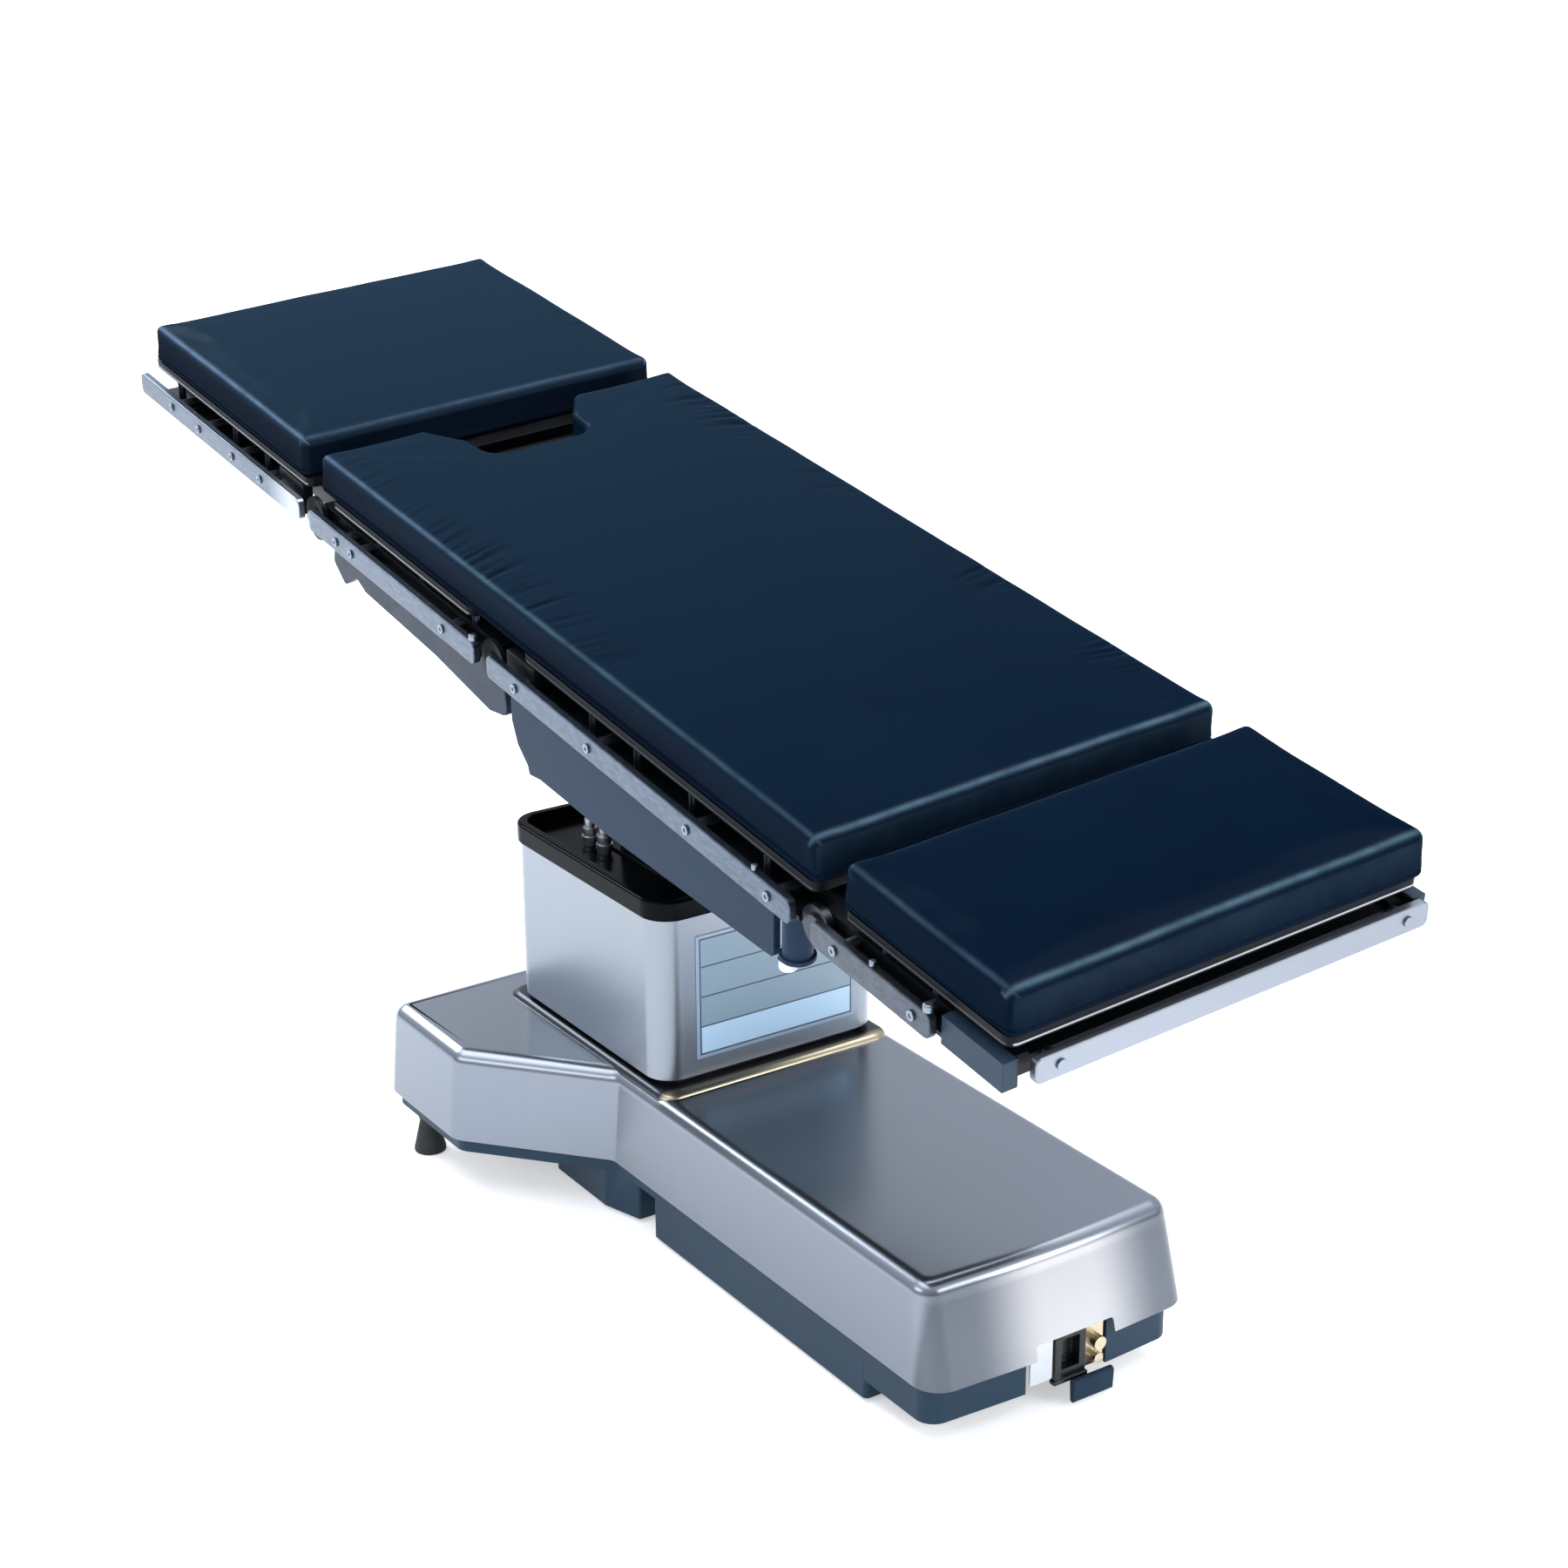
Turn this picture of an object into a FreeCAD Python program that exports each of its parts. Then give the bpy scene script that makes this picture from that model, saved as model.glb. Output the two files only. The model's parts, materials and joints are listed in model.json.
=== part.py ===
import FreeCAD, Part
import math
import os

V = FreeCAD.Vector
os.makedirs("parts", exist_ok=True)

# ---------------------------------------------------------------- driving dimensions (mm, degrees)
# Row frame: +Z up, floor at Z = 0, +X towards the head end, origin under the middle of the table.
X_SHIFT = 5.99          # column axis sits this far towards the head end from the middle of the length

TREND_REST = 8.746      # head-down slope of the table top as it stands
TILT_REST = 5.150       # sideways slope of the table top as it stands (+Y side up)
PAD_TOP_Z = 810.8       # height of the cushion top plane above the floor at the column axis
TILT_DEPTH = 180.0      # the sideways tilt axis lies this far below the cushion top plane
PIVOT_Z = 629.4         # height of the fore-and-aft tilt axis above the floor

# base
BASE_NEAR, BASE_FAR = 693.5, -246.5        # ends of the base deck, along X
BASE_HALF_NARROW, BASE_HALF_WIDE = 167.3, 299.2
FLARE_NARROW_X, FLARE_WIDE_X = 83.0, -73.2
DECK_Z, COVER_BOTTOM_Z = 189.4, 75.5
DRAFT = 8.9                                # the cover grows by this much from deck to lower rim
END_LEAN = 17.0                            # the near end leans out by this much more
COVER_WALL = 2.5
DECK_EDGE_R = 18.0
PLINTH_H = 6.0
CHASSIS_Z0, CHASSIS_Z1 = 96.0, 112.0
FOOT_X_FAR, FOOT_Y_FAR, FOOT_X_NEAR, FOOT_Y_NEAR = -198.0, 278.0, 640.0, 118.0
WHEEL_R, WHEEL_W, WHEEL_CLEAR = 37.5, 24.0, 3.0
SWIVEL_X, SWIVEL_Y, SWIVEL_TRAIL = 22.0, 92.0, 24.0
FIXED_X, FIXED_Y = 520.0, 100.0

# column
SHROUD_HX, SHROUD_HY, SHROUD_R = 172.0, 156.0, 33.0
SHROUD_DX = -5.0                           # the shrouds sit this far off the mast, away from the head end
SHROUD_Z0, SHROUD_Z1 = 201.4, 404.0
SHROUD_GAP, SHROUD_WALL = 4.0, 2.0
CAP_H = 25.0
MAST_HX, MAST_HY, MAST_WALL = 85.0, 70.0, 8.0
LIFT_TRAVEL = 330.0
BARREL_R, STAGE_R, RAM_R = 35.0, 27.0, 20.0

# tilt head
EAR_Y0, EAR_Y1, EAR_R, PIN_R, RUN_FIT = 60.0, 80.0, 30.0, 12.0, 0.05
CROSS_HX, CROSS_HY, CROSS_HZ = 62.0, 58.0, 26.0

# table top (in the top's own level frame: x along the table, z = 0 at the cushion top)
PAD_HALF_W, PAD_T = 254.2, 52.5
LEG_PAD = (-948.0, -473.0)
TORSO_PAD = (-433.4, 661.5)
HEAD_PAD = (699.2, 968.0)
BOARD_T, BOARD_GAP = 12.0, 0.5
RAIL_H, RAIL_T, RAIL_OUT, RAIL_TOP = 28.6, 9.5, 270.1, -74.8
LEG_RAIL = (-965.6, -464.8)
SEAT_RAIL = (-437.6, -5.5)
BACK_RAIL = (24.6, 638.9)
HEAD_RAIL = (675.5, 869.0)
END_RAIL_X, END_RAIL_Y = 977.0, (-230.8, 253.3)
HINGE_Z = -98.0
LEG_HINGE_X, BACK_HINGE_X, HEAD_HINGE_X = -451.2, 9.5, 661.0
EYE_R, HINGE_PIN_R = 14.0, 8.0
BACK_UP_MAX = 60.0
KNUCKLE_X, KNUCKLE_Y = 596.0, 230.0
CUT_DEPTH, CUT_HALF_IN, CUT_HALF_MOUTH = 115.0, 70.0, 100.0

# ---------------------------------------------------------------- helpers
parts = {}


def add(name, *shapes):
    parts.setdefault(name, []).extend(shapes)


def box(x0, x1, y0, y1, z0, z1):
    return Part.makeBox(x1 - x0, y1 - y0, z1 - z0, V(x0, y0, z0))


def cyl(x, y, z, r, h, axis=(0, 0, 1)):
    return Part.makeCylinder(r, h, V(x, y, z), V(*axis))


def cone(x, y, z, r0, r1, h, axis=(0, 0, 1)):
    return Part.makeCone(r0, r1, h, V(x, y, z), V(*axis))


def wire(pts, plane="xy", at=0.0):
    """Closed polygon of (u, v, radius) with each corner rounded by a tangent arc."""
    def p3(u, v):
        return V(u, v, at) if plane == "xy" else (V(u, at, v) if plane == "xz" else V(at, u, v))
    n = len(pts)
    ends = []
    for i in range(n):
        u, v, r = pts[i]
        pu, pv = pts[i - 1][0] - u, pts[i - 1][1] - v
        nu, nv = pts[(i + 1) % n][0] - u, pts[(i + 1) % n][1] - v
        lp, ln = math.hypot(pu, pv), math.hypot(nu, nv)
        pu, pv, nu, nv = pu / lp, pv / lp, nu / ln, nv / ln
        if r <= 0:
            ends.append((p3(u, v), None, p3(u, v)))
            continue
        half = math.acos(max(-1, min(1, pu * nu + pv * nv))) / 2
        t = r / math.tan(half)
        bu, bv = pu + nu, pv + nv
        lb = math.hypot(bu, bv)
        d = r / math.sin(half) - r
        ends.append((p3(u + pu * t, v + pv * t),
                     p3(u + bu / lb * d, v + bv / lb * d),
                     p3(u + nu * t, v + nv * t)))
    edges = []
    for i in range(n):
        a, mid, b = ends[i]
        if mid is not None:
            edges.append(Part.Arc(a, mid, b).toShape())
        c = ends[(i + 1) % n][0]
        if b.distanceToPoint(c) > 1e-6:
            edges.append(Part.LineSegment(b, c).toShape())
    return Part.Wire(edges)


def prism(pts, z0, z1):
    return Part.Face(wire(pts, "xy", z0)).extrude(V(0, 0, z1 - z0))


def side(pts, y0, y1):
    return Part.Face(wire(pts, "xz", y0)).extrude(V(0, y1 - y0, 0))


def rrect(x0, x1, y0, y1, r):
    return [(x0, y0, r), (x1, y0, r), (x1, y1, r), (x0, y1, r)]


def ring(outer, inner, z0, z1):
    return prism(outer, z0, z1).cut(prism(inner, z0 - 1, z1 + 1))


def mirror_y(s):
    return s.mirror(V(0, 0, 0), V(0, 1, 0))


def both(s):
    return [s, mirror_y(s)]


def fuse(first, *rest):
    return first.fuse(list(rest)).removeSplitter()


def round_top(s, z, r):
    """Rounds every edge that lies in the plane of height z."""
    edges = [e for e in s.Edges if all(abs(v.Point.z - z) < 1e-6 for v in e.Vertexes)
             and abs(e.BoundBox.ZLength) < 1e-6]
    return s.makeFillet(r, edges)


# ---------------------------------------------------------------- base
def outline(off, lean=0.0):
    """Plan of the T-shaped base, grown outward by off, with the near end moved out by lean.
    Convex corners grow, inside ones shrink."""
    n, w, hn, hw = BASE_NEAR, BASE_FAR, BASE_HALF_NARROW, BASE_HALF_WIDE
    fx, wx = FLARE_NARROW_X, FLARE_WIDE_X
    slope = math.atan2(hw - hn, fx - wx)          # angle of the flare to the X axis
    k = off * math.tan(slope / 2)
    cv, cc = 24.0 + off, 26.0 - off
    far_r = 21.0 + off
    n += lean
    return [
        (w - off, -(hw + off), far_r), (wx + k, -(hw + off), cv), (fx + k, -(hn + off), cc),
        (n + off, -(hn + off), cv), (n + 9 + off, 0, 1500.0), (n + off, hn + off, cv),
        (fx + k, hn + off, cc), (wx + k, hw + off, cv), (w - off, hw + off, far_r),
        (w - 7 - off, 0, 3000.0),
    ]


z_edge = DECK_Z - DECK_EDGE_R


def lean_at(z):
    return END_LEAN * max(0.0, (z_edge - z) / (z_edge - COVER_BOTTOM_Z))


def loft(sections):
    return Part.makeLoft([wire(outline(o, lean_at(z)), "xy", z) for z, o in sections], True, True)


outer_sections = [(COVER_BOTTOM_Z, DRAFT), (z_edge, 1.4)]
for k in (9.0, 18.0, 27.0, 36.0, 45.0, 54.0, 63.0, 72.0, 81.0, 90.0):
    t = math.radians(k)
    outer_sections.append((z_edge + DECK_EDGE_R * math.sin(t), 1.4 - DECK_EDGE_R * (1 - math.cos(t))))
cover_outer = loft(outer_sections)
inner_sections = [(COVER_BOTTOM_Z - 2, DRAFT - COVER_WALL), (z_edge, 1.4 - COVER_WALL)]
for k in (30.0, 60.0, 90.0):
    t = math.radians(k)
    r = DECK_EDGE_R - COVER_WALL
    inner_sections.append((z_edge + r * math.sin(t), 1.4 - COVER_WALL - r * (1 - math.cos(t))))
cover_inner = loft(inner_sections)
plinth_wires = [wire(rrect(-197 + d, 189 - d, -164 + d, 164 - d, 20 - d), "xy", z)
                for d, z in ((0, DECK_Z - 1.5), (1.5, DECK_Z), (7.5, DECK_Z + PLINTH_H))]
plinth = Part.makeLoft(plinth_wires, True, True)
cover = cover_outer.cut(cover_inner)
cover = cover.fuse(plinth)
cover = cover.cut(prism(rrect(-112, 112, -92, 92, 12), 150, 230))
# bay for the power inlet, cut up from the lower rim of the near end
cover = cover.cut(prism(rrect(680, 740, -40, 66, 4), 60, 92))
# a bent tab hangs from the rim beside the inlet
cover = fuse(cover, box(708, 711, -38, -8, 36, 95), box(708, 722, -38, -8, 92, 95))
add("base_cover", cover)

chassis = prism(outline(1.5, END_LEAN * 0.6), CHASSIS_Z0, CHASSIS_Z1)
chassis = chassis.cut(prism(rrect(676, 740, -42, 68, 4), 60, 130))
bosses = [cyl(x, y, CHASSIS_Z1, 9, DECK_Z - COVER_WALL - CHASSIS_Z1)
          for x in (-190, 280, 640) for y in ((-240, 240) if x < 0 else (-130, 130))]
ribs = [box(-170, 660, -7, 7, 66, CHASSIS_Z0), box(560, 600, 7, 140, 66, CHASSIS_Z0),
        box(560, 600, -140, -7, 66, CHASSIS_Z0), box(-214, -170, -250, 250, 70, CHASSIS_Z0)]
add("base_chassis", chassis, *bosses, *ribs)

# lower skirt: a ring under the cover, deep pods over the casters
skirt = ring(outline(-1, END_LEAN * 0.6), outline(-5, END_LEAN * 0.6), 56, CHASSIS_Z0)
near_low = ring(outline(-1, END_LEAN * 0.6), outline(-5, END_LEAN * 0.6), 28, 60).common(box(588, 760, -200, 200, 20, 70))
pod_b = ring(rrect(160, 592, -166.3, 166.3, 6), rrect(164, 588, -162.3, 162.3, 4), 5, CHASSIS_Z0)
pod_a_out = [(-60, -176, 12), (64, -176, 10), (118, -160, 4), (118, 160, 4), (64, 176, 10), (-60, 176, 12)]
pod_a_in = [(-56, -172, 8), (63, -172, 8), (114, -157, 3), (114, 157, 3), (63, 172, 8), (-56, 172, 8)]
pod_a = ring(pod_a_out, pod_a_in, 5, CHASSIS_Z0)
skirt = fuse(skirt, near_low, pod_b, pod_a)
skirt = skirt.cut(box(676, 760, -42, 68, 20, 130))
skirt = skirt.cut(box(-200, -100, -7.5, 7.5, 60, 97))
for rib in (box(-215, 661, -7.3, 7.3, 65.7, 97), box(559.7, 600.3, -140.3, 140.3, 65.7, 97)):
    skirt = skirt.cut(rib)
add("base_skirt", skirt)

for sx, sy in ((FOOT_X_FAR, FOOT_Y_FAR), (FOOT_X_NEAR, FOOT_Y_NEAR)):
    for y in (-sy, sy):
        foot = cone(sx, y, 4, 20, 11, 40)
        foot = foot.fuse([cyl(sx, y, 0, 20, 4), cyl(sx, y, 44, 12.5, 4)]).removeSplitter()
        add("base_feet", foot)
        add("foot_spindles", cyl(sx, y, 48, 7, CHASSIS_Z0 - 48).fuse(
            Part.makeCylinder(12, 6, V(sx, y, CHASSIS_Z0 - 12), V(0, 0, 1))).removeSplitter())

# power inlet bay at the near end
add("power_inlet", fuse(box(682, 713, -6, 36, 30, 92), box(706, 715, -8, 38, 28, 33)).cut(
    box(700, 720, 3, 27, 44, 80)))
terminal = [Part.makeBox(24, 26, 60, V(682, 39, 32)), cyl(706, 52, 62, 8, 12, (1, 0, 0)),
            cyl(706, 52, 43, 6, 10, (1, 0, 0))]
add("ground_terminal", fuse(*terminal))
FLAP_PIN = (716.0, 36.0)   # x, z of the flap's hinge line
flap = fuse(cyl(FLAP_PIN[0] + 5, 12, FLAP_PIN[1] - 8, 4.5, 54, (0, 1, 0)),
            side([(716.5, 29, 2), (725.5, 29, 2), (724.0, 5, 3), (718, 5, 3)], 12, 66))
add("inlet_flap", flap)

# internals of the base
add("pump_motor", fuse(cyl(330, -75, 152, 33, 130, (1, 0, 0)), box(455, 500, -108, -42, 120, 184),
                       box(350, 440, -85, -65, 112, 125)))
add("oil_reservoir", fuse(box(300, 500, 15, 130, 112, 172), cyl(330, 70, 171, 12, 10)))
add("battery_pack", prism(rrect(-180, -125, -215, -110, 4), 112, 176),
    prism(rrect(-180, -125, 110, 215, 4), 112, 176))
add("control_box", fuse(prism(rrect(545, 655, -100, 100, 5), 112, 150), box(560, 640, -40, 40, 149, 156)))

# casters: two that swivel and two that run straight
hub_z = WHEEL_R + WHEEL_CLEAR


def wheel(x, y):
    w = cyl(x, y - WHEEL_W / 2, hub_z, WHEEL_R, WHEEL_W, (0, 1, 0))
    w = w.makeFillet(4, [e for e in w.Edges if e.Curve.TypeId == "Part::GeomCircle"])
    return w.cut(cyl(x, y - 20, hub_z, 5.05, 40, (0, 1, 0)))


def fork(x, y, trail, stem):
    hx = x + trail
    cheek = [(hx - 12, hub_z - 12, 11), (hx + 12, hub_z - 12, 11), (hx + 12, 84, 3), (hx - 12, 84, 3)]
    body = [side(cheek, y + s * 15.5 - 2.5, y + s * 15.5 + 2.5) for s in (-1, 1)]
    body.append(box(min(x, hx) - 17, max(x, hx) + 17, y - 18, y + 18, 80, 86))
    body.append(cyl(hx, y - 18, hub_z, 5, 36, (0, 1, 0)))
    body.append(cyl(x, y, 85, 14, (10.7 if stem else 11)))
    return fuse(*body)


for name, y in (("left", -SWIVEL_Y), ("right", SWIVEL_Y)):
    add("caster_fork_" + name, fork(SWIVEL_X, y, -SWIVEL_TRAIL, True))
    add("caster_wheel_" + name, wheel(SWIVEL_X - SWIVEL_TRAIL, y))
add("fixed_caster_forks", fork(FIXED_X, -FIXED_Y, 0, False), fork(FIXED_X, FIXED_Y, 0, False))
add("caster_wheel_near_left", wheel(FIXED_X, -FIXED_Y))
add("caster_wheel_near_right", wheel(FIXED_X, FIXED_Y))

# ---------------------------------------------------------------- lifting column
deck_top = DECK_Z + PLINTH_H


def around(hx, hy, r):
    return rrect(SHROUD_DX - hx, SHROUD_DX + hx, -hy, hy, r)


def shell(hx, hy, r, wall, z0, z1):
    return ring(around(hx, hy, r), around(hx - wall, hy - wall, r - wall), z0, z1)


h1x, h1y, r1 = SHROUD_HX, SHROUD_HY, SHROUD_R
h2x, h2y, r2 = h1x - SHROUD_WALL - SHROUD_GAP, h1y - SHROUD_WALL - SHROUD_GAP, r1 - SHROUD_WALL - SHROUD_GAP
h3x, h3y, r3 = h2x - 1.5 - SHROUD_GAP, h2y - 1.5 - SHROUD_GAP, r2 - 1.5 - SHROUD_GAP
add("shroud_outer", shell(h1x, h1y, r1, SHROUD_WALL, SHROUD_Z0, SHROUD_Z1))
add("shroud_middle", shell(h2x, h2y, r2, 1.5, 198.5, 392))
add("shroud_inner", shell(h3x, h3y, r3, 1.5, deck_top, 388))
gasket_in = around(h3x - 1.5, h3y - 1.5, r3 - 1.5)
add("column_gasket", ring(gasket_in, rrect(-125, 125, -104, 104, 14), deck_top, deck_top + 12))

m1x, m1y = MAST_HX, MAST_HY
step = MAST_WALL + 1.0
add("mast_lower", fuse(ring(rrect(-m1x, m1x, -m1y, m1y, 12), rrect(-m1x + MAST_WALL, m1x - MAST_WALL, -m1y + MAST_WALL, m1y - MAST_WALL, 5), CHASSIS_Z1, 380),
                       ring(rrect(-105, 105, -88, 88, 8), rrect(-80, 80, -65, 65, 5), CHASSIS_Z1, 124)))
add("mast_middle", ring(rrect(-m1x + step, m1x - step, -m1y + step, m1y - step, 5),
                        rrect(-m1x + step + MAST_WALL, m1x - step - MAST_WALL, -m1y + step + MAST_WALL, m1y - step - MAST_WALL, 4), 118, 384))
add("mast_upper", ring(rrect(-m1x + 2 * step, m1x - 2 * step, -m1y + 2 * step, m1y - 2 * step, 4),
                       rrect(-m1x + 2 * step + MAST_WALL, m1x - 2 * step - MAST_WALL, -m1y + 2 * step + MAST_WALL, m1y - 2 * step - MAST_WALL, 3), 122, 400))
add("lift_cylinder_barrel", cyl(0, 0, CHASSIS_Z1, BARREL_R, 260).cut(cyl(0, 0, CHASSIS_Z1 + 8, STAGE_R + 0.5, 300)))
add("lift_stage_tube", cyl(0, 0, 124, STAGE_R, 262).cut(cyl(0, 0, 134, RAM_R + 0.5, 300)))
add("lift_ram", cyl(0, 0, 140, RAM_R, 260))

cap_out = around(h1x + 4, h1y + 4, r1 + 4)
cap = prism(cap_out, SHROUD_Z1, SHROUD_Z1 + CAP_H)
cap = round_top(cap, SHROUD_Z1 + CAP_H, 4)
cap = cap.cut(prism(around(h1x - 9, h1y - 9, r1 - 9), SHROUD_Z1 + 10, SHROUD_Z1 + 40))
cap = cap.cut(prism(rrect(-100, 100, -90, 90, 10), SHROUD_Z1 - 5, SHROUD_Z1 + 40))
add("cap_bezel", cap)

head = [prism(rrect(-99, 99, -89, 89, 10), 400.0, 417.0), box(-14, 14, -62, 62, 416, 505)]
for y0, y1 in ((EAR_Y0, EAR_Y1), (-EAR_Y1, -EAR_Y0)):
    ear = side([(-42, 416, 0), (42, 416, 0), (EAR_R, PIVOT_Z, 0.0), (-EAR_R, PIVOT_Z, 0.0)], y0, y1)
    ear = ear.fuse(cyl(0, y0, PIVOT_Z, EAR_R, y1 - y0, (0, 1, 0)))
    head.append(ear.cut(cyl(0, y0 - 1, PIVOT_Z, PIN_R + RUN_FIT, y1 - y0 + 2, (0, 1, 0))))
add("column_head", fuse(*head))
add("hydraulic_fittings", *[fuse(cyl(x, y, SHROUD_Z1 + 10, 8.5, 23), cyl(x, y, SHROUD_Z1 + 32, 6.5, 12), cyl(x, y, SHROUD_Z1 + 17, 10.5, 6))
                            for x, y in ((-74, -103), (-40, -103), (74, 103), (40, 103))])
plate = box(SHROUD_DX + h1x, SHROUD_DX + h1x + 1.2, -106, 118, 222, 378)
add("data_plate", plate)

# ---------------------------------------------------------------- tilt cross (sloped fore and aft)
top_y = -TILT_DEPTH * math.sin(math.radians(TILT_REST))
rot_trend = FreeCAD.Rotation(V(0, 1, 0), TREND_REST)
rot_top = rot_trend.multiply(FreeCAD.Rotation(V(1, 0, 0), TILT_REST))
P_TOP = FreeCAD.Placement(V(0, top_y, PAD_TOP_Z), rot_top)
P_CROSS = FreeCAD.Placement(V(0, 0, PIVOT_Z), rot_trend)
PIVOT_LOCAL_X = P_TOP.inverse().multVec(V(0, 0, PIVOT_Z)).x

cross = box(-CROSS_HX, CROSS_HX, -CROSS_HY, CROSS_HY, -CROSS_HZ, CROSS_HZ)
cross = cross.makeFillet(8, [e for e in cross.Edges])
pins = []
for s in (-1, 1):
    pins.append(cyl(0, s * 24, 0, PIN_R, 59, (0, s, 0)))
    pins.append(cyl(s * 30, 0, 0, PIN_R, 56, (s, 0, 0)))
for p in pins:
    cross = cross.cut(p)
add("tilt_cross", cross)
add("trunnion_pins", *pins)

# ---------------------------------------------------------------- table top, in its own level frame
pad_z0 = -PAD_T
board_z1 = pad_z0 - BOARD_GAP
board_z0 = board_z1 - BOARD_T
BAR_Z0, BAR_Z1, PLATE_Z1 = -104.0, -80.0, -100.0
LEDGE_Y, LEDGE_Z1 = 256.0, -98.0      # a flat ledge closes the frame's side towards the rail
IN0, IN1, OUT0, OUT1 = 200.0, 220.0, 222.0, 242.0      # inner and outer side bars run past each other at the hinges


def pad(x0, x1, r=14.0):
    s = prism(rrect(x0, x1, -PAD_HALF_W, PAD_HALF_W, r), pad_z0, 0)
    return round_top(s, 0, 9)


def board(x0, x1):
    return prism(rrect(x0, x1, -251, 251, 12), board_z0, board_z1)


def bar(x0, x1, y0, y1, eyes):
    """Side bar with a hinge eye at each given (x, bore radius)."""
    s = [box(x0, x1, y0, y1, BAR_Z0, BAR_Z1)]
    s += [cyl(x, y0, HINGE_Z, EYE_R, y1 - y0, (0, 1, 0)) for x, _ in eyes]
    s = fuse(*s) if len(s) > 1 else s[0]
    for x, r in eyes:
        s = s.cut(cyl(x, y0 - 1, HINGE_Z, r, y1 - y0 + 2, (0, 1, 0)))
    return s


def rail(x0, x1):
    z1 = RAIL_TOP
    z0 = z1 - RAIL_H
    return side([(x0, z0, 8), (x1, z0, 8), (x1, z1, 8), (x0, z1, 8)], RAIL_OUT - RAIL_T, RAIL_OUT)


def rail_screws(xs, y_in):
    z = RAIL_TOP - RAIL_H / 2
    out = []
    for x in xs:
        out.append(cyl(x, y_in, z, 7, RAIL_OUT - RAIL_T - y_in, (0, 1, 0)))
        head_ = cyl(x, RAIL_OUT, z, 5.5, 2.4, (0, 1, 0))
        head_ = head_.cut(cyl(x, RAIL_OUT + 1.2, z, 2.4, 3, (0, 1, 0)))
        out.append(head_)
    return out


def posts(xs):
    return [cyl(x, 238, LEDGE_Z1, 5, board_z0 - LEDGE_Z1) for x in xs]


def ledge(x0, x1, y_in):
    return box(x0, x1, y_in, LEDGE_Y, BAR_Z0, LEDGE_Z1)


def hinge_boss(x, y0, r=28.2):
    """Round boss on the outer end of a hinge pin, between two ledges."""
    return fuse(cyl(x, y0, HINGE_Z, 23, 248 - y0, (0, 1, 0)), cyl(x, 247, HINGE_Z, r, LEDGE_Y - 2.5 - 247, (0, 1, 0)),
                cyl(x, LEDGE_Y - 3, HINGE_Z, 15, 4.5, (0, 1, 0)))


def rail_stop(x, r, h):
    """Round-headed stop pin on the top edge of a rail."""
    y = RAIL_OUT - RAIL_T / 2
    return round_top(cyl(x, y, RAIL_TOP, r, h), RAIL_TOP + h, r * 0.45)


bore = HINGE_PIN_R + RUN_FIT
top = {}


def tadd(name, *shapes):
    top.setdefault(name, []).extend(shapes)


# leg section
leg_posts = (-900, -719, -620)
bars = both(bar(-951, LEG_HINGE_X, IN0, IN1, [(LEG_HINGE_X, bore)]))
rigs = both(ledge(-945, -550, IN1 - 1)) + both(ledge(-552, -481, OUT1 + 1))
tadd("leg_frame", fuse(box(-940, -500, -IN0 - 1, IN0 + 1, BAR_Z0, PLATE_Z1),
                       box(-505, -480, -IN0 - 1, IN0 + 1, BAR_Z0, -84), *bars, *rigs))
tadd("leg_side_rails", *both(rail(*LEG_RAIL)))
for s in rail_screws((-860.6, -772, -666, -580), IN1) + posts(leg_posts):
    tadd("leg_fasteners", *both(s))
tadd("leg_board", board(-955, -470))
tadd("leg_pad", pad(*LEG_PAD))

# seat section
seat_bar = bar(LEG_HINGE_X, BACK_HINGE_X, OUT0, OUT1, [(LEG_HINGE_X, HINGE_PIN_R), (BACK_HINGE_X, HINGE_PIN_R)])
seat_plate = box(-300, -30, -OUT0 - 1, OUT0 + 1, BAR_Z0, PLATE_Z1)
seat_cross = box(-312, -290, -OUT0 - 1, OUT0 + 1, BAR_Z0, -84)
tadd("seat_frame", fuse(seat_plate, seat_cross, *both(seat_bar), *both(ledge(-420, -21, OUT1 - 1))))
hinge_pins = []
for x in (LEG_HINGE_X, BACK_HINGE_X):
    hinge_pins += both(fuse(cyl(x, IN0 - 2, HINGE_Z, HINGE_PIN_R, OUT1 - IN0 + 4, (0, 1, 0)), hinge_boss(x, OUT1 + 2)))
tadd("hinge_pins", *hinge_pins)
plate_pts = [(-435.5, BAR_Z0, 0), (-447, -160, 6), (-418, -181, 5), (-383, -158, 8), (-360, -168, 6), (-175, -174, 30),
             (-40, -187, 12), (6, -176, 16), (0, -140, 10), (-22, BAR_Z0, 0)]
tadd("seat_side_plates", *both(side(plate_pts, 224, 236)))
seat_posts = (-303, -190, -60)
tadd("seat_side_rails", *both(rail(*SEAT_RAIL)))
for s in rail_screws((-359, -318, -82.7), OUT1) + [cyl(x, 236, BAR_Z1, 5, board_z0 - BAR_Z1) for x in seat_posts]:
    tadd("seat_fasteners", *both(s))
seat_b = board(-405, -45).cut(prism([(-420, -66, 0), (-330, -66, 20), (-330, 66, 20), (-420, 66, 0)], board_z0 - 1, board_z1 + 1))
tadd("seat_board", seat_b)
up = math.radians(BACK_UP_MAX / 2)
lean_low = (pad_z0 - 1 - HINGE_Z) * math.tan(up) + 2.0
lean_high = (5 - HINGE_Z) * math.tan(up) + 2.0
seat_pad = pad(TORSO_PAD[0], TORSO_PAD[0] + 500)
x_in = TORSO_PAD[0] + CUT_DEPTH
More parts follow.
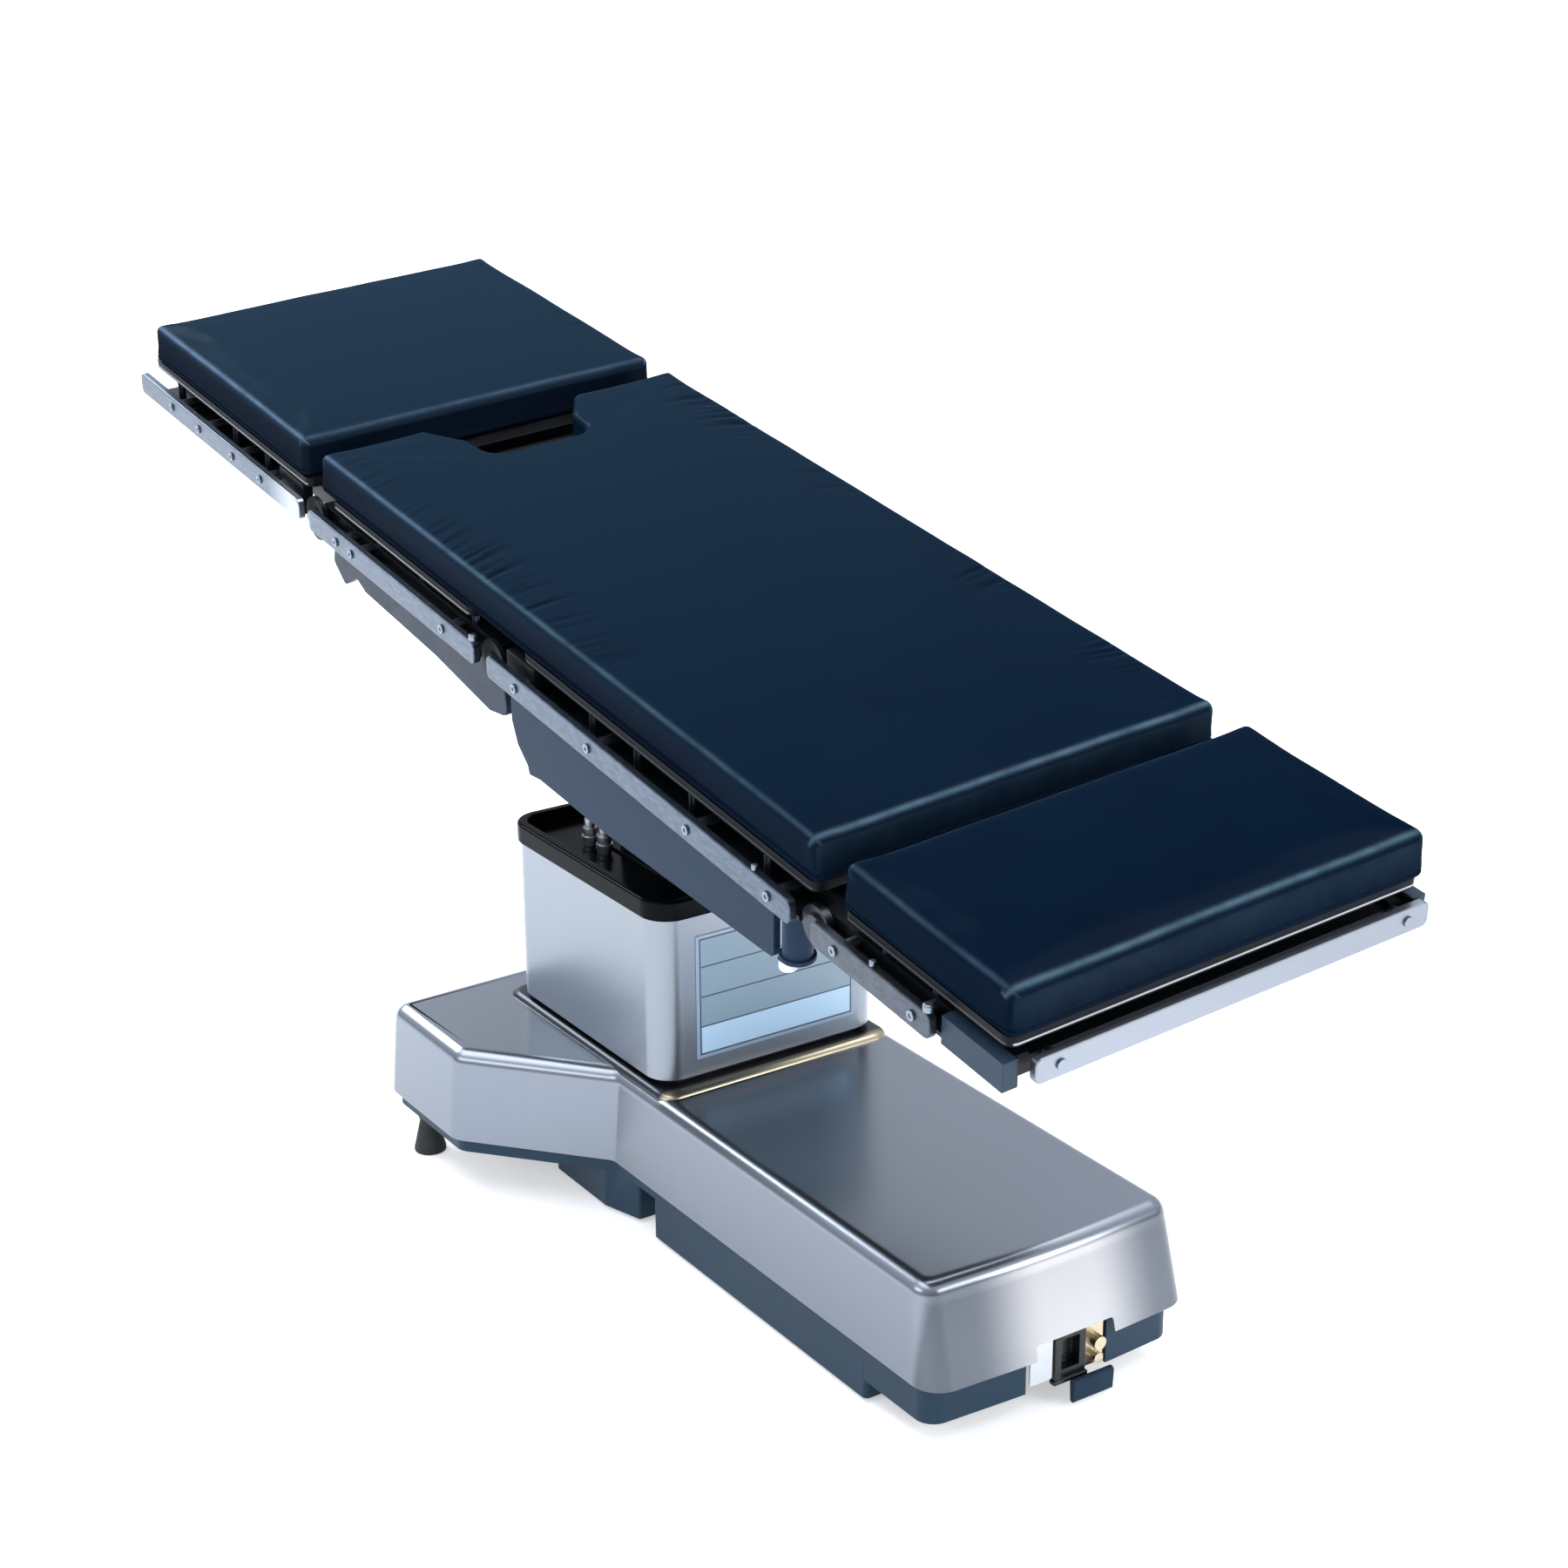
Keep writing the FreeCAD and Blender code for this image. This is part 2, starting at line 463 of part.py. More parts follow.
cut_pts = [(TORSO_PAD[0] - 20, -CUT_HALF_MOUTH - 18, 0), (TORSO_PAD[0] + 12, -CUT_HALF_MOUTH, 14), (x_in - 62, -CUT_HALF_IN - 4, 20), (x_in, -CUT_HALF_IN, 30),
           (x_in, CUT_HALF_IN, 30), (x_in - 62, CUT_HALF_IN + 4, 20), (TORSO_PAD[0] + 12, CUT_HALF_MOUTH, 14), (TORSO_PAD[0] - 20, CUT_HALF_MOUTH + 18, 0)]
seat_pad = seat_pad.cut(prism(cut_pts, pad_z0 - 1, 5))
hx = BACK_HINGE_X
keep = side([(TORSO_PAD[0] - 5, pad_z0 - 1, 0), (hx - lean_low, pad_z0 - 1, 0), (hx - lean_high, 5, 0), (TORSO_PAD[0] - 5, 5, 0)], -300, 300)
tadd("seat_pad", seat_pad.common(keep))
# saddle: top plate, two beams and two end plates that carry the sideways tilt axis
px = PIVOT_LOCAL_X
saddle = [box(px - 90, px + 88, -100, 100, -120, -108)]
saddle += [box(-380, px + 60, s * 83 - 13, s * 83 + 13, -122, -110) for s in (-1, 1)]
saddle += [box(-300, -20, s * 83 - 13, s * 83 + 13, -111, BAR_Z0) for s in (-1, 1)]
for x0, x1 in ((px - 82, px - 64), (px + 64, px + 82)):
    ep = [Part.Face(wire([(-46, -119, 0), (46, -119, 0), (34, -TILT_DEPTH, 0), (-34, -TILT_DEPTH, 0)], "yz", x0)).extrude(V(x1 - x0, 0, 0)),
          cyl(x0, 0, -TILT_DEPTH, 34, x1 - x0, (1, 0, 0))]
    saddle.append(fuse(*ep).cut(cyl(x0 - 1, 0, -TILT_DEPTH, PIN_R + RUN_FIT, x1 - x0 + 2, (1, 0, 0))))
tadd("seat_saddle", fuse(*saddle))

# back section
back_posts = (210, 303.5, 413.6, 554.7)
stub = cyl(HEAD_HINGE_X, IN1 - 2, HINGE_Z, HINGE_PIN_R, OUT1 - IN1 + 4, (0, 1, 0))     # head hinge pin, welded in the bar
bars = both(fuse(bar(BACK_HINGE_X, HEAD_HINGE_X, IN0, IN1, [(BACK_HINGE_X, bore)]), cyl(HEAD_HINGE_X, IN0, HINGE_Z, EYE_R, IN1 - IN0, (0, 1, 0)), stub))
rigs = both(ledge(40, 636, IN1 - 1))
tray = fuse(box(150, 640, -IN0, IN0, BAR_Z0, PLATE_Z1), box(150, 172, -IN0, IN0, PLATE_Z1, -84), box(615, 640, -IN0, IN0, PLATE_Z1, -84))
sides = [fuse(bars[k], *[r for r in rigs if (r.CenterOfMass.y > 0) == (k == 0)]) for k in (0, 1)]
tadd("back_frame", tray, *sides)
cover_pts = [(35, -106, 0), (34, -161, 4), (46, -188, 6), (68, -206, 4), (71, -216, 3), (96, -211, 4), (232, -208, 60), (353, -200, 60),
             (540, -187, 30), (576, -184, 6), (576, -106, 0)]
bc = fuse(side(cover_pts, 238, 246), box(35, 576, 204, 240, -108, BAR_Z0), side([(35, -106, 0), (34, -161, 4), (42, -176, 2), (52, -176, 2), (52, -106, 0)], 204, 240))
tadd("back_side_covers", *both(bc))
tadd("back_side_rails", *both(rail(*BACK_RAIL)))
for s in rail_screws((90, 250, 450, 600), IN1) + posts(back_posts):
    tadd("back_fasteners", *both(s))
tadd("back_board", board(75, 655))
back_pad = pad(TORSO_PAD[1] - 655, TORSO_PAD[1])
keep = side([(hx + lean_low, pad_z0 - 1, 0), (TORSO_PAD[1] + 5, pad_z0 - 1, 0), (TORSO_PAD[1] + 5, 5, 0), (hx + lean_high, 5, 0)], -300, 300)
tadd("back_pad", back_pad.common(keep))
kn = fuse(cyl(KNUCKLE_X, KNUCKLE_Y, -172, 16, 172 + BAR_Z0), cyl(KNUCKLE_X, KNUCKLE_Y, -178, 19.5, 6), cyl(KNUCKLE_X - 4.5, KNUCKLE_Y + 8.5, -190, 9, 12))
tadd("head_lock_knuckles", *both(kn))

# head section
head_posts = (756.2, 836.5)
bars = both(bar(HEAD_HINGE_X, 955, OUT0, OUT1, [(HEAD_HINGE_X, bore)]))
tadd("head_frame", fuse(box(715, 940, -OUT0 - 1, OUT0 + 1, BAR_Z0, PLATE_Z1), box(930, 955, -OUT0 - 1, OUT0 + 1, BAR_Z0, -84),
                        *bars, *both(ledge(686, 900, OUT1 - 1)), *both(box(873, 965, OUT1 - 1, 259, -107, -75))))
er = [(END_RAIL_Y[0], RAIL_TOP - RAIL_H, 8), (END_RAIL_Y[1], RAIL_TOP - RAIL_H, 8), (END_RAIL_Y[1], RAIL_TOP, 8), (END_RAIL_Y[0], RAIL_TOP, 8)]
end_rail = Part.Face(wire(er, "yz", END_RAIL_X - RAIL_T)).extrude(V(RAIL_T, 0, 0))
tadd("head_rails", *both(rail(*HEAD_RAIL)), end_rail)
for s in rail_screws((715, 842), OUT1) + [cyl(x, 236, BAR_Z1, 5, board_z0 - BAR_Z1) for x in head_posts]:
    tadd("head_fasteners", *both(s))
for y in (-202, 225):
    z = RAIL_TOP - RAIL_H / 2
    tadd("head_fasteners", cyl(955, y, z, 7, END_RAIL_X - RAIL_T - 955, (1, 0, 0)),
         cyl(END_RAIL_X, y, z, 5.5, 2.4, (1, 0, 0)))
tadd("head_fasteners", *both(rail_stop(773, 3.6, 6)), *both(rail_stop(861, 5.5, 8)))
tadd("back_fasteners", *both(rail_stop(571, 3.6, 6)), *both(hinge_boss(HEAD_HINGE_X, OUT1 + 2, 24.0)))
tadd("seat_fasteners", *both(rail_stop(-14, 5.0, 7)))
tadd("head_board", board(702, 962))
tadd("head_pad", pad(*HEAD_PAD))

# ---------------------------------------------------------------- place and write
for name, shapes in top.items():
    for s in shapes:
        t = s.copy()
        t.Placement = P_TOP.multiply(t.Placement)
        add(name, t)
for name in ("tilt_cross", "trunnion_pins"):
    moved = []
    for s in parts[name]:
        t = s.copy()
        t.Placement = P_CROSS.multiply(t.Placement)
        moved.append(t)
    parts[name] = moved

low, high = V(1e9, 1e9, 1e9), V(-1e9, -1e9, -1e9)
for name, shapes in parts.items():
    out = []
    for s in shapes:
        t = s.copy()
        t.Placement = FreeCAD.Placement(V(X_SHIFT, 0, 0), FreeCAD.Rotation()).multiply(t.Placement)
        out.extend(t.Solids if t.Solids else [t])
    shape = out[0] if len(out) == 1 else Part.makeCompound(out)
    b = shape.BoundBox
    low = V(min(low.x, b.XMin), min(low.y, b.YMin), min(low.z, b.ZMin))
    high = V(max(high.x, b.XMax), max(high.y, b.YMax), max(high.z, b.ZMax))
    ok = all(s.isValid() for s in out)
    print(f"{name:26s} solids {len(out):2d} valid {ok} volume {sum(s.Volume for s in out) / 1e3:9.1f} cm3")
    shape.exportStep("parts/" + name + ".step")
print("nodes", len(parts), "box", low, high, "middle x", (low.x + high.x) / 2)
print("pivot in the top's frame x", PIVOT_LOCAL_X)
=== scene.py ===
import bpy, bmesh, json, math
import numpy as np
from mathutils import Matrix, Vector, Euler, noise
from mathutils.kdtree import KDTree


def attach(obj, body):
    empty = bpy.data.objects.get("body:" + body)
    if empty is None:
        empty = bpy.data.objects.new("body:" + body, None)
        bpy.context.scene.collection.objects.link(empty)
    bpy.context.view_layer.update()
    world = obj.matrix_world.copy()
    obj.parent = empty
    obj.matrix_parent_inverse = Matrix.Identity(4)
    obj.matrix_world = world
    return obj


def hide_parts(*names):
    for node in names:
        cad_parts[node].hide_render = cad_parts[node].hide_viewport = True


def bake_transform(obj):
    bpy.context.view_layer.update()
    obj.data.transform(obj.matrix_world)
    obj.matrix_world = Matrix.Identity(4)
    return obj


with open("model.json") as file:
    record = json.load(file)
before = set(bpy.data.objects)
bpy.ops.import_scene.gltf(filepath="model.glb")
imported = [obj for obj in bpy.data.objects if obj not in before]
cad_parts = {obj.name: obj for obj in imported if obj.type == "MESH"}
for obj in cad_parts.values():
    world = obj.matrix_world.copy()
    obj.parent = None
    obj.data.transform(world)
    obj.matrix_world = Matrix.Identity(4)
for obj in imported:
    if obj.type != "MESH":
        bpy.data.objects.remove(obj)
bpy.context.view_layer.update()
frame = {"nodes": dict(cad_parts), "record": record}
scene = bpy.context.scene
scene.view_settings.view_transform = "Standard"
rad = math.radians

# ------------------------------------------------------------------ frames
# Row frame: metres, +Z up, +X to the head end. The top's own level frame L is turned and tilted from it.
TREND, TILT = rad(8.746), rad(5.150)
TOP_ORIGIN = Vector((0.00599, -0.18 * math.sin(TILT), 0.8108))
TOP = Matrix.Translation(TOP_ORIGIN) @ Matrix.Rotation(TREND, 4, "Y") @ Matrix.Rotation(TILT, 4, "X")
TOP_INV = TOP.inverted()
XS = 0.00599


def at_top(x, y, z):
    """Point of the top's level frame (mm) in the row frame (m)."""
    return TOP @ Vector((x / 1000, y / 1000, z / 1000))


# ------------------------------------------------------------------ camera
YAW, PITCH, ROLL = rad(56.0956), rad(20.2182), rad(-0.3029)
ahead = Vector((-math.sin(YAW) * math.cos(PITCH), math.cos(YAW) * math.cos(PITCH), -math.sin(PITCH)))
level = Vector((math.cos(YAW), math.sin(YAW), 0))
over = level.cross(ahead)
cam_right = math.cos(ROLL) * level + math.sin(ROLL) * over
cam_up = -math.sin(ROLL) * level + math.cos(ROLL) * over
cam_data = bpy.data.cameras.new("camera")
cam = bpy.data.objects.new("camera", cam_data)
scene.collection.objects.link(cam)
cam.matrix_world = Matrix((
    (cam_right.x, cam_up.x, -ahead.x, 2.7332),
    (cam_right.y, cam_up.y, -ahead.y, -1.7021),
    (cam_right.z, cam_up.z, -ahead.z, 1.6755),
    (0, 0, 0, 1)))
cam_data.sensor_width = 36.0
cam_data.lens = 65.34
cam_data.clip_start, cam_data.clip_end = 0.05, 200.0
scene.camera = cam


# ------------------------------------------------------------------ materials
def srgb(r, g, b):
    def lin(c):
        c = c / 255.0
        return c / 12.92 if c <= 0.04045 else ((c + 0.055) / 1.055) ** 2.4
    return (lin(r), lin(g), lin(b), 1.0)


def scaled(c, k):
    return (min(1, c[0] * k), min(1, c[1] * k), min(1, c[2] * k), 1.0)


class Mat:
    """A small helper round one Principled material and its node tree."""

    def __init__(self, name, color, rough, metal=0.0, **sockets):
        self.mat = bpy.data.materials.new(name)
        self.mat.use_nodes = True
        self.t = self.mat.node_tree
        self.t.nodes.clear()
        self.out = self.t.nodes.new("ShaderNodeOutputMaterial")
        self.p = self.t.nodes.new("ShaderNodeBsdfPrincipled")
        self.t.links.new(self.p.outputs[0], self.out.inputs[0])
        self.p.inputs["Base Color"].default_value = color
        self.p.inputs["Roughness"].default_value = rough
        self.p.inputs["Metallic"].default_value = metal
        for k, v in sockets.items():
            self.p.inputs[k.replace("_", " ")].default_value = v
        self.mat.diffuse_color = color
        self.coord = self.t.nodes.new("ShaderNodeTexCoord").outputs["Object"]

    def node(self, kind, **props):
        n = self.t.nodes.new(kind)
        for k, v in props.items():
            setattr(n, k, v)
        return n

    def link(self, a, b):
        self.t.links.new(a, b)

    def mapped(self, scale=(1, 1, 1), to_top=False):
        v = self.coord
        if to_top:
            m = self.node("ShaderNodeMapping")
            m.inputs["Location"].default_value = TOP_INV.to_translation()
            m.inputs["Rotation"].default_value = TOP_INV.to_euler("XYZ")
            self.link(v, m.inputs["Vector"])
            v = m.outputs[0]
        if tuple(scale) != (1, 1, 1):
            m = self.node("ShaderNodeMapping")
            m.inputs["Scale"].default_value = scale
            self.link(v, m.inputs["Vector"])
            v = m.outputs[0]
        return v

    def noise(self, vec, scale=5.0, detail=3.0, rough=0.55, distortion=0.0):
        n = self.node("ShaderNodeTexNoise")
        n.inputs["Scale"].default_value = scale
        n.inputs["Detail"].default_value = detail
        n.inputs["Roughness"].default_value = rough
        n.inputs["Distortion"].default_value = distortion
        self.link(vec, n.inputs["Vector"])
        return n.outputs[0]

    def range(self, v, a, b, c, d, smooth=False):
        n = self.node("ShaderNodeMapRange")
        if smooth:
            n.interpolation_type = "SMOOTHSTEP"
        for i, x in enumerate((a, b, c, d)):
            n.inputs[i + 1].default_value = x
        self.link(v, n.inputs[0])
        return n.outputs[0]

    def math(self, op, a, b=None, c=None):
        n = self.node("ShaderNodeMath", operation=op)
        for i, x in enumerate((a, b, c)):
            if x is None:
                continue
            if isinstance(x, (int, float)):
                n.inputs[i].default_value = x
            else:
                self.link(x, n.inputs[i])
        return n.outputs[0]

    def mix(self, fac, a, b):
        n = self.node("ShaderNodeMix", data_type="RGBA")
        self.link(fac, n.inputs[0])
        for i, x in ((6, a), (7, b)):
            if isinstance(x, tuple):
                n.inputs[i].default_value = x
            else:
                self.link(x, n.inputs[i])
        return n.outputs[2]

    def split(self, vec):
        n = self.node("ShaderNodeSeparateXYZ")
        self.link(vec, n.inputs[0])
        return n.outputs

    def color(self, v):
        self.link(v, self.p.inputs["Base Color"])

    def rough(self, v):
        self.link(v, self.p.inputs["Roughness"])

    def bump(self, height, strength, distance):
        n = self.node("ShaderNodeBump")
        n.inputs["Strength"].default_value = strength
        n.inputs["Distance"].default_value = distance
        self.link(height, n.inputs["Height"])
        if getattr(self, "last_bump", None) is not None:
            self.link(self.last_bump, n.inputs["Normal"])
        self.last_bump = n.outputs[0]
        self.link(n.outputs[0], self.p.inputs["Normal"])


def steel(name, color, rough, grain, to_top=False, depth=0.001, spread=0.008, painted_glint=None, painted_light_bands=(), painted_cover_tones=None, mottle=0.0):
    """Brushed or satin steel: fine streaks along one axis, faint clouding, handling marks. Bands paint a lighter or
    darker tone along X as painted light and shade, one option paints a glint on the +X side, and the cover tones paint
    shade and reflections on the base cover.
    """
    m = Mat(name, color, rough, 1.0)
    streak = m.noise(m.mapped(grain, to_top), 1.0, 4.0, 0.6)
    cloud = m.noise(m.mapped((1, 1, 1), to_top), 5.0, 3.0, 0.5, 0.3)
    smear = m.noise(m.mapped((1, 1, 1), to_top), 40.0, 5.0, 0.65, 0.8)
    tone = m.math("ADD", m.range(cloud, 0.3, 0.7, 0.0, 0.6), m.range(streak, 0.3, 0.7, 0.0, 0.4))
    base = m.mix(tone, scaled(color, 0.985), scaled(color, 1.015))
    if mottle:
        patchy = m.noise(m.mapped((70, 240, 240), to_top), 1.0, 4.0, 0.7)
        base = m.mix(m.range(patchy, 0.32, 0.68, 0.0, 1.0), scaled(color, 1 - mottle), scaled(color, 1 + mottle))
    # painted reflection: a tan glint painted over everything beyond x 0.176 to 0.186, the +X side
    if painted_glint:
        base = m.mix(m.range(m.split(m.coord)[0], 0.176, 0.186, 0.0, 1.0), base, painted_glint)
    # painted light and shade: each band paints a lighter or darker tone of the steel over an X range
    for x0, x1, x2, x3, painted_band_tone in painted_light_bands:
        along = m.split(m.mapped((1, 1, 1), to_top))[0]
        base = m.mix(m.math("MULTIPLY", m.range(along, x0, x1, 0.0, 1.0), m.range(along, x2, x3, 1.0, 0.0)), base, painted_band_tone)
    if painted_cover_tones:
        xyz = m.split(m.coord)
        painted_wall_shade, painted_end_highlight, painted_end_side_shade = painted_cover_tones
        # painted reflection: a dark patch on the deck in front of the column, where the deck mirrors the column and the
        # dark underside of the top
        across = m.math("ADD", m.math("MULTIPLY", m.math("SUBTRACT", xyz[0], 0.19), 0.607), m.math("MULTIPLY", m.math("SUBTRACT", xyz[1], 0.164), 0.795))
        shade = m.math("MULTIPLY", m.range(across, -0.085, 0.0, 1.0, 0.0, True), m.range(xyz[0], 0.26, 0.60, 0.80, 0.0, True))
        base = m.mix(m.math("MULTIPLY", shade, m.range(xyz[0], 0.17, 0.19, 0.0, 1.0)), base, (0.085, 0.090, 0.100, 1))
        # painted reflection on the near end face: lighter in the middle, darker towards both sides
        side = m.range(m.math("ABSOLUTE", m.math("SUBTRACT", xyz[1], 0.012)), 0.030, 0.125, 0.0, 1.0, True)
        painted_end_tone = m.mix(side, painted_end_highlight, painted_end_side_shade)
        # painted shade: below the deck edge the side walls take a darker tone than the deck, and the near end face
        # takes its painted end tone
        wall = m.mix(m.range(xyz[0], 0.690, 0.702, 0.0, 1.0, True), painted_wall_shade, painted_end_tone)
        base = m.mix(m.range(xyz[2], 0.176, 0.186, 1.0, 0.0, True), base, m.mix(m.range(cloud, 0.3, 0.7, 0.0, 0.04), wall, (0.3, 0.3, 0.3, 1)))
    m.color(base)
    r = m.math("ADD", m.range(streak, 0.25, 0.75, rough - spread, rough + spread),
               m.range(smear, 0.5, 0.85, 0.0, 0.015))
    m.rough(r)
    m.bump(streak, depth, 0.0003)
    return m.mat


def vinyl(name, color, rough=0.36, wrinkles=True):
    """Coated cushion fabric: fine leather grain, long soft waves, drawn creases beside the long edges. Its colour also
    carries painted highlights on the rounded top edges, painted shade on the sides and in the creases, and a painted
    sheen lighter towards the leg end.
    """
    m = Mat(name, color, rough, 0.0, Specular_IOR_Level=0.0, Coat_Weight=0.03, Coat_Roughness=0.22)
    m.p.inputs["Coat Tint"].default_value = srgb(170, 205, 240)
    top = m.mapped((1, 1, 1), True)
    cloud = m.noise(top, 5.0, 4.0, 0.55, 0.3)
    fine = m.noise(top, 160.0, 3.0, 0.6)
    tone = m.range(cloud, 0.3, 0.7, 0.0, 1.0)
    # painted highlight: lighter blue along the rounded top edges, read from a per-point attribute and broken up by
    # noise
    att = m.node("ShaderNodeAttribute", attribute_name="painted_edge_highlight")
    edge_highlight_mix = m.math("MULTIPLY", att.outputs["Fac"], m.range(m.noise(m.mapped((1, 1, 1), True), 26.0, 3.0, 0.6), 0.30, 0.62, 0.55, 1.0))
    body = m.mix(tone, scaled(color, 0.86), scaled(color, 1.16))
    at = m.split(top)
    # painted sheen: the vinyl is painted lighter towards the leg end, where it is seen at a grazing angle
    body = m.mix(m.range(at[0], -0.95, 0.95, 1.0, 0.0), body, (0.0085, 0.0195, 0.0335, 1))
    # painted shade: the cushion sides below the rounded top edge are darkened, most towards the leg end and fading out
    # towards the head end
    leg_side_shade = m.math("MULTIPLY", m.range(at[2], -0.016, -0.007, 1.0, 0.0, True), m.range(at[0], -0.55, 0.10, 0.75, 0.0, True))
    low_side_shade = m.math("MULTIPLY", m.range(at[2], -0.046, -0.012, 0.80, 0.0), m.range(at[0], 0.40, 0.66, 1.0, 0.0))
    painted_side_shade = m.math("MAXIMUM", leg_side_shade, low_side_shade)
    # painted shade in each crease and a painted highlight on the slope beside it, read from a per-point crease
    # attribute
    painted_crease_shading = m.node("ShaderNodeAttribute", attribute_name="painted_crease_shading").outputs["Fac"]
    body = m.mix(m.range(painted_crease_shading, 0.0, 1.0, 0.0, 0.75), body, (0.0003, 0.0016, 0.0060, 1))
    body = m.mix(m.range(painted_crease_shading, -1.0, 0.0, 0.42, 0.0), body, (0.022, 0.040, 0.062, 1))
    body = m.mix(painted_side_shade, body, (0.0006, 0.0022, 0.0075, 1))
    m.color(m.mix(edge_highlight_mix, body, m.mix(m.range(at[0], -0.9, 0.1, 0.0, 1.0), (0.085, 0.128, 0.215, 1), (0.056, 0.098, 0.132, 1))))
    m.rough(m.math("ADD", m.range(cloud, 0.3, 0.7, rough - 0.035, rough + 0.035), m.range(fine, 0.3, 0.7, -0.03, 0.03)))
    v = m.node("ShaderNodeTexVoronoi", feature="DISTANCE_TO_EDGE")
    v.inputs["Scale"].default_value = 620.0
    m.link(top, v.inputs["Vector"])
    grain = m.range(v.outputs["Distance"], 0.0, 0.25, 0.0, 1.0)
    m.bump(grain, 0.10, 0.00025)
    m.bump(fine, 0.10, 0.0006)
    if wrinkles:
        xyz = m.split(top)
        side = m.math("ABSOLUTE", xyz[1])
        near = m.math("MULTIPLY", m.range(side, 0.150, 0.215, 0.0, 1.0, True), m.range(side, 0.236, 0.250, 1.0, 0.0, True))
        where = m.math("MULTIPLY", near, m.range(m.noise(m.mapped((1, 0.4, 1), True), 6.0, 2.0), 0.42, 0.66, 0.0, 1.0, True))
        lines = m.noise(m.mapped((110, 12, 12), True), 1.0, 2.0, 0.5, 0.35)
        m.bump(m.math("MULTIPLY", lines, where), 0.25, 0.0015)
    return m.mat


def plastic(name, color, rough=0.45, grain=420.0, grain_depth=0.12, worn=1.25, **sockets):
    """Moulded or painted surface: fine orange peel, faint dust and handling tone, lighter scuffs."""
    m = Mat(name, color, rough, 0.0, **sockets)
    o = m.mapped()
    cloud = m.noise(o, 9.0, 4.0, 0.6, 0.5)
    scuff = m.noise(m.mapped((30, 30, 90)), 1.0, 5.0, 0.7, 0.6)
    tone = m.range(cloud, 0.3, 0.7, 0.0, 1.0)
    base = m.mix(tone, scaled(color, 0.86), scaled(color, 1.12))
    m.color(m.mix(m.range(scuff, 0.62, 0.85, 0.0, 0.55), base, scaled(color, worn)))
    m.rough(m.math("ADD", m.range(cloud, 0.3, 0.7, rough - 0.05, rough + 0.05), m.range(scuff, 0.55, 0.8, 0.0, 0.10)))
    m.bump(m.noise(o, grain, 2.0, 0.5), grain_depth, 0.0004)
    return m.mat


def rubber(name, color, rough=0.72):
    m = Mat(name, color, rough, 0.0)
    o = m.mapped()
    cloud = m.noise(o, 24.0, 4.0, 0.6)
    dust = m.noise(o, 130.0, 4.0, 0.7)
    m.color(m.mix(m.range(m.math("ADD", cloud, m.math("MULTIPLY", dust, 0.6)), 0.6, 1.05, 0.0, 1.0), color, scaled(color, 2.3)))
    m.rough(m.range(cloud, 0.3, 0.7, rough - 0.08, rough + 0.1))
    m.bump(dust, 0.18, 0.0005)
    return m.mat


def polished(name, color, rough):
    m = Mat(name, color, rough, 1.0)
    o = m.mapped()
    cloud = m.noise(o, 60.0, 4.0, 0.6)
    m.color(m.mix(m.range(cloud, 0.3, 0.7, 0.0, 1.0), scaled(color, 0.9), scaled(color, 1.05)))
    m.rough(m.range(cloud, 0.35, 0.75, max(0.02, rough - 0.03), rough + 0.08))
    m.bump(m.noise(o, 300.0, 2.0, 0.5), 0.05, 0.0002)
    return m.mat


def board_material():
    """Dark laminate board whose side shows one pale ply line."""
    dark, pale = srgb(12, 15, 20), srgb(178, 180, 184)
    m = Mat("board_laminate", dark, 0.42, 0.0, Specular_IOR_Level=0.08)
    top = m.mapped((1, 1, 1), True)
    xyz = m.split(top)
    cloud = m.noise(top, 14.0, 4.0, 0.6)
    fibre = m.noise(m.mapped((12, 12, 900), True), 1.0, 3.0, 0.6)
    base = m.mix(m.range(cloud, 0.3, 0.7, 0.0, 1.0), scaled(dark, 0.7), scaled(dark, 1.4))
    up = m.range(xyz[2], -0.06280, -0.06250, 0.0, 1.0)
    down = m.range(xyz[2], -0.06060, -0.06030, 1.0, 0.0)
    side = m.range(m.math("ABSOLUTE", xyz[1]), 0.2490, 0.2500, 0.0, 1.0)
    end = m.range(xyz[0], 0.9600, 0.9610, 0.0, 1.0)
    sides = m.math("MULTIPLY", side, m.range(xyz[0], -0.15, 0.10, 1.9, 0.35))
    line = m.math("MULTIPLY", m.math("MULTIPLY", up, down), m.range(fibre, 0.2, 0.5, 0.8, 1.0))
    line = m.math("MULTIPLY", line, m.math("MAXIMUM", m.math("MULTIPLY", sides, 0.35), end))
    m.color(m.mix(line, base, pale))
    m.rough(m.range(cloud, 0.3, 0.7, 0.36, 0.5))
    m.bump(fibre, 0.08, 0.0004)
    return m.mat


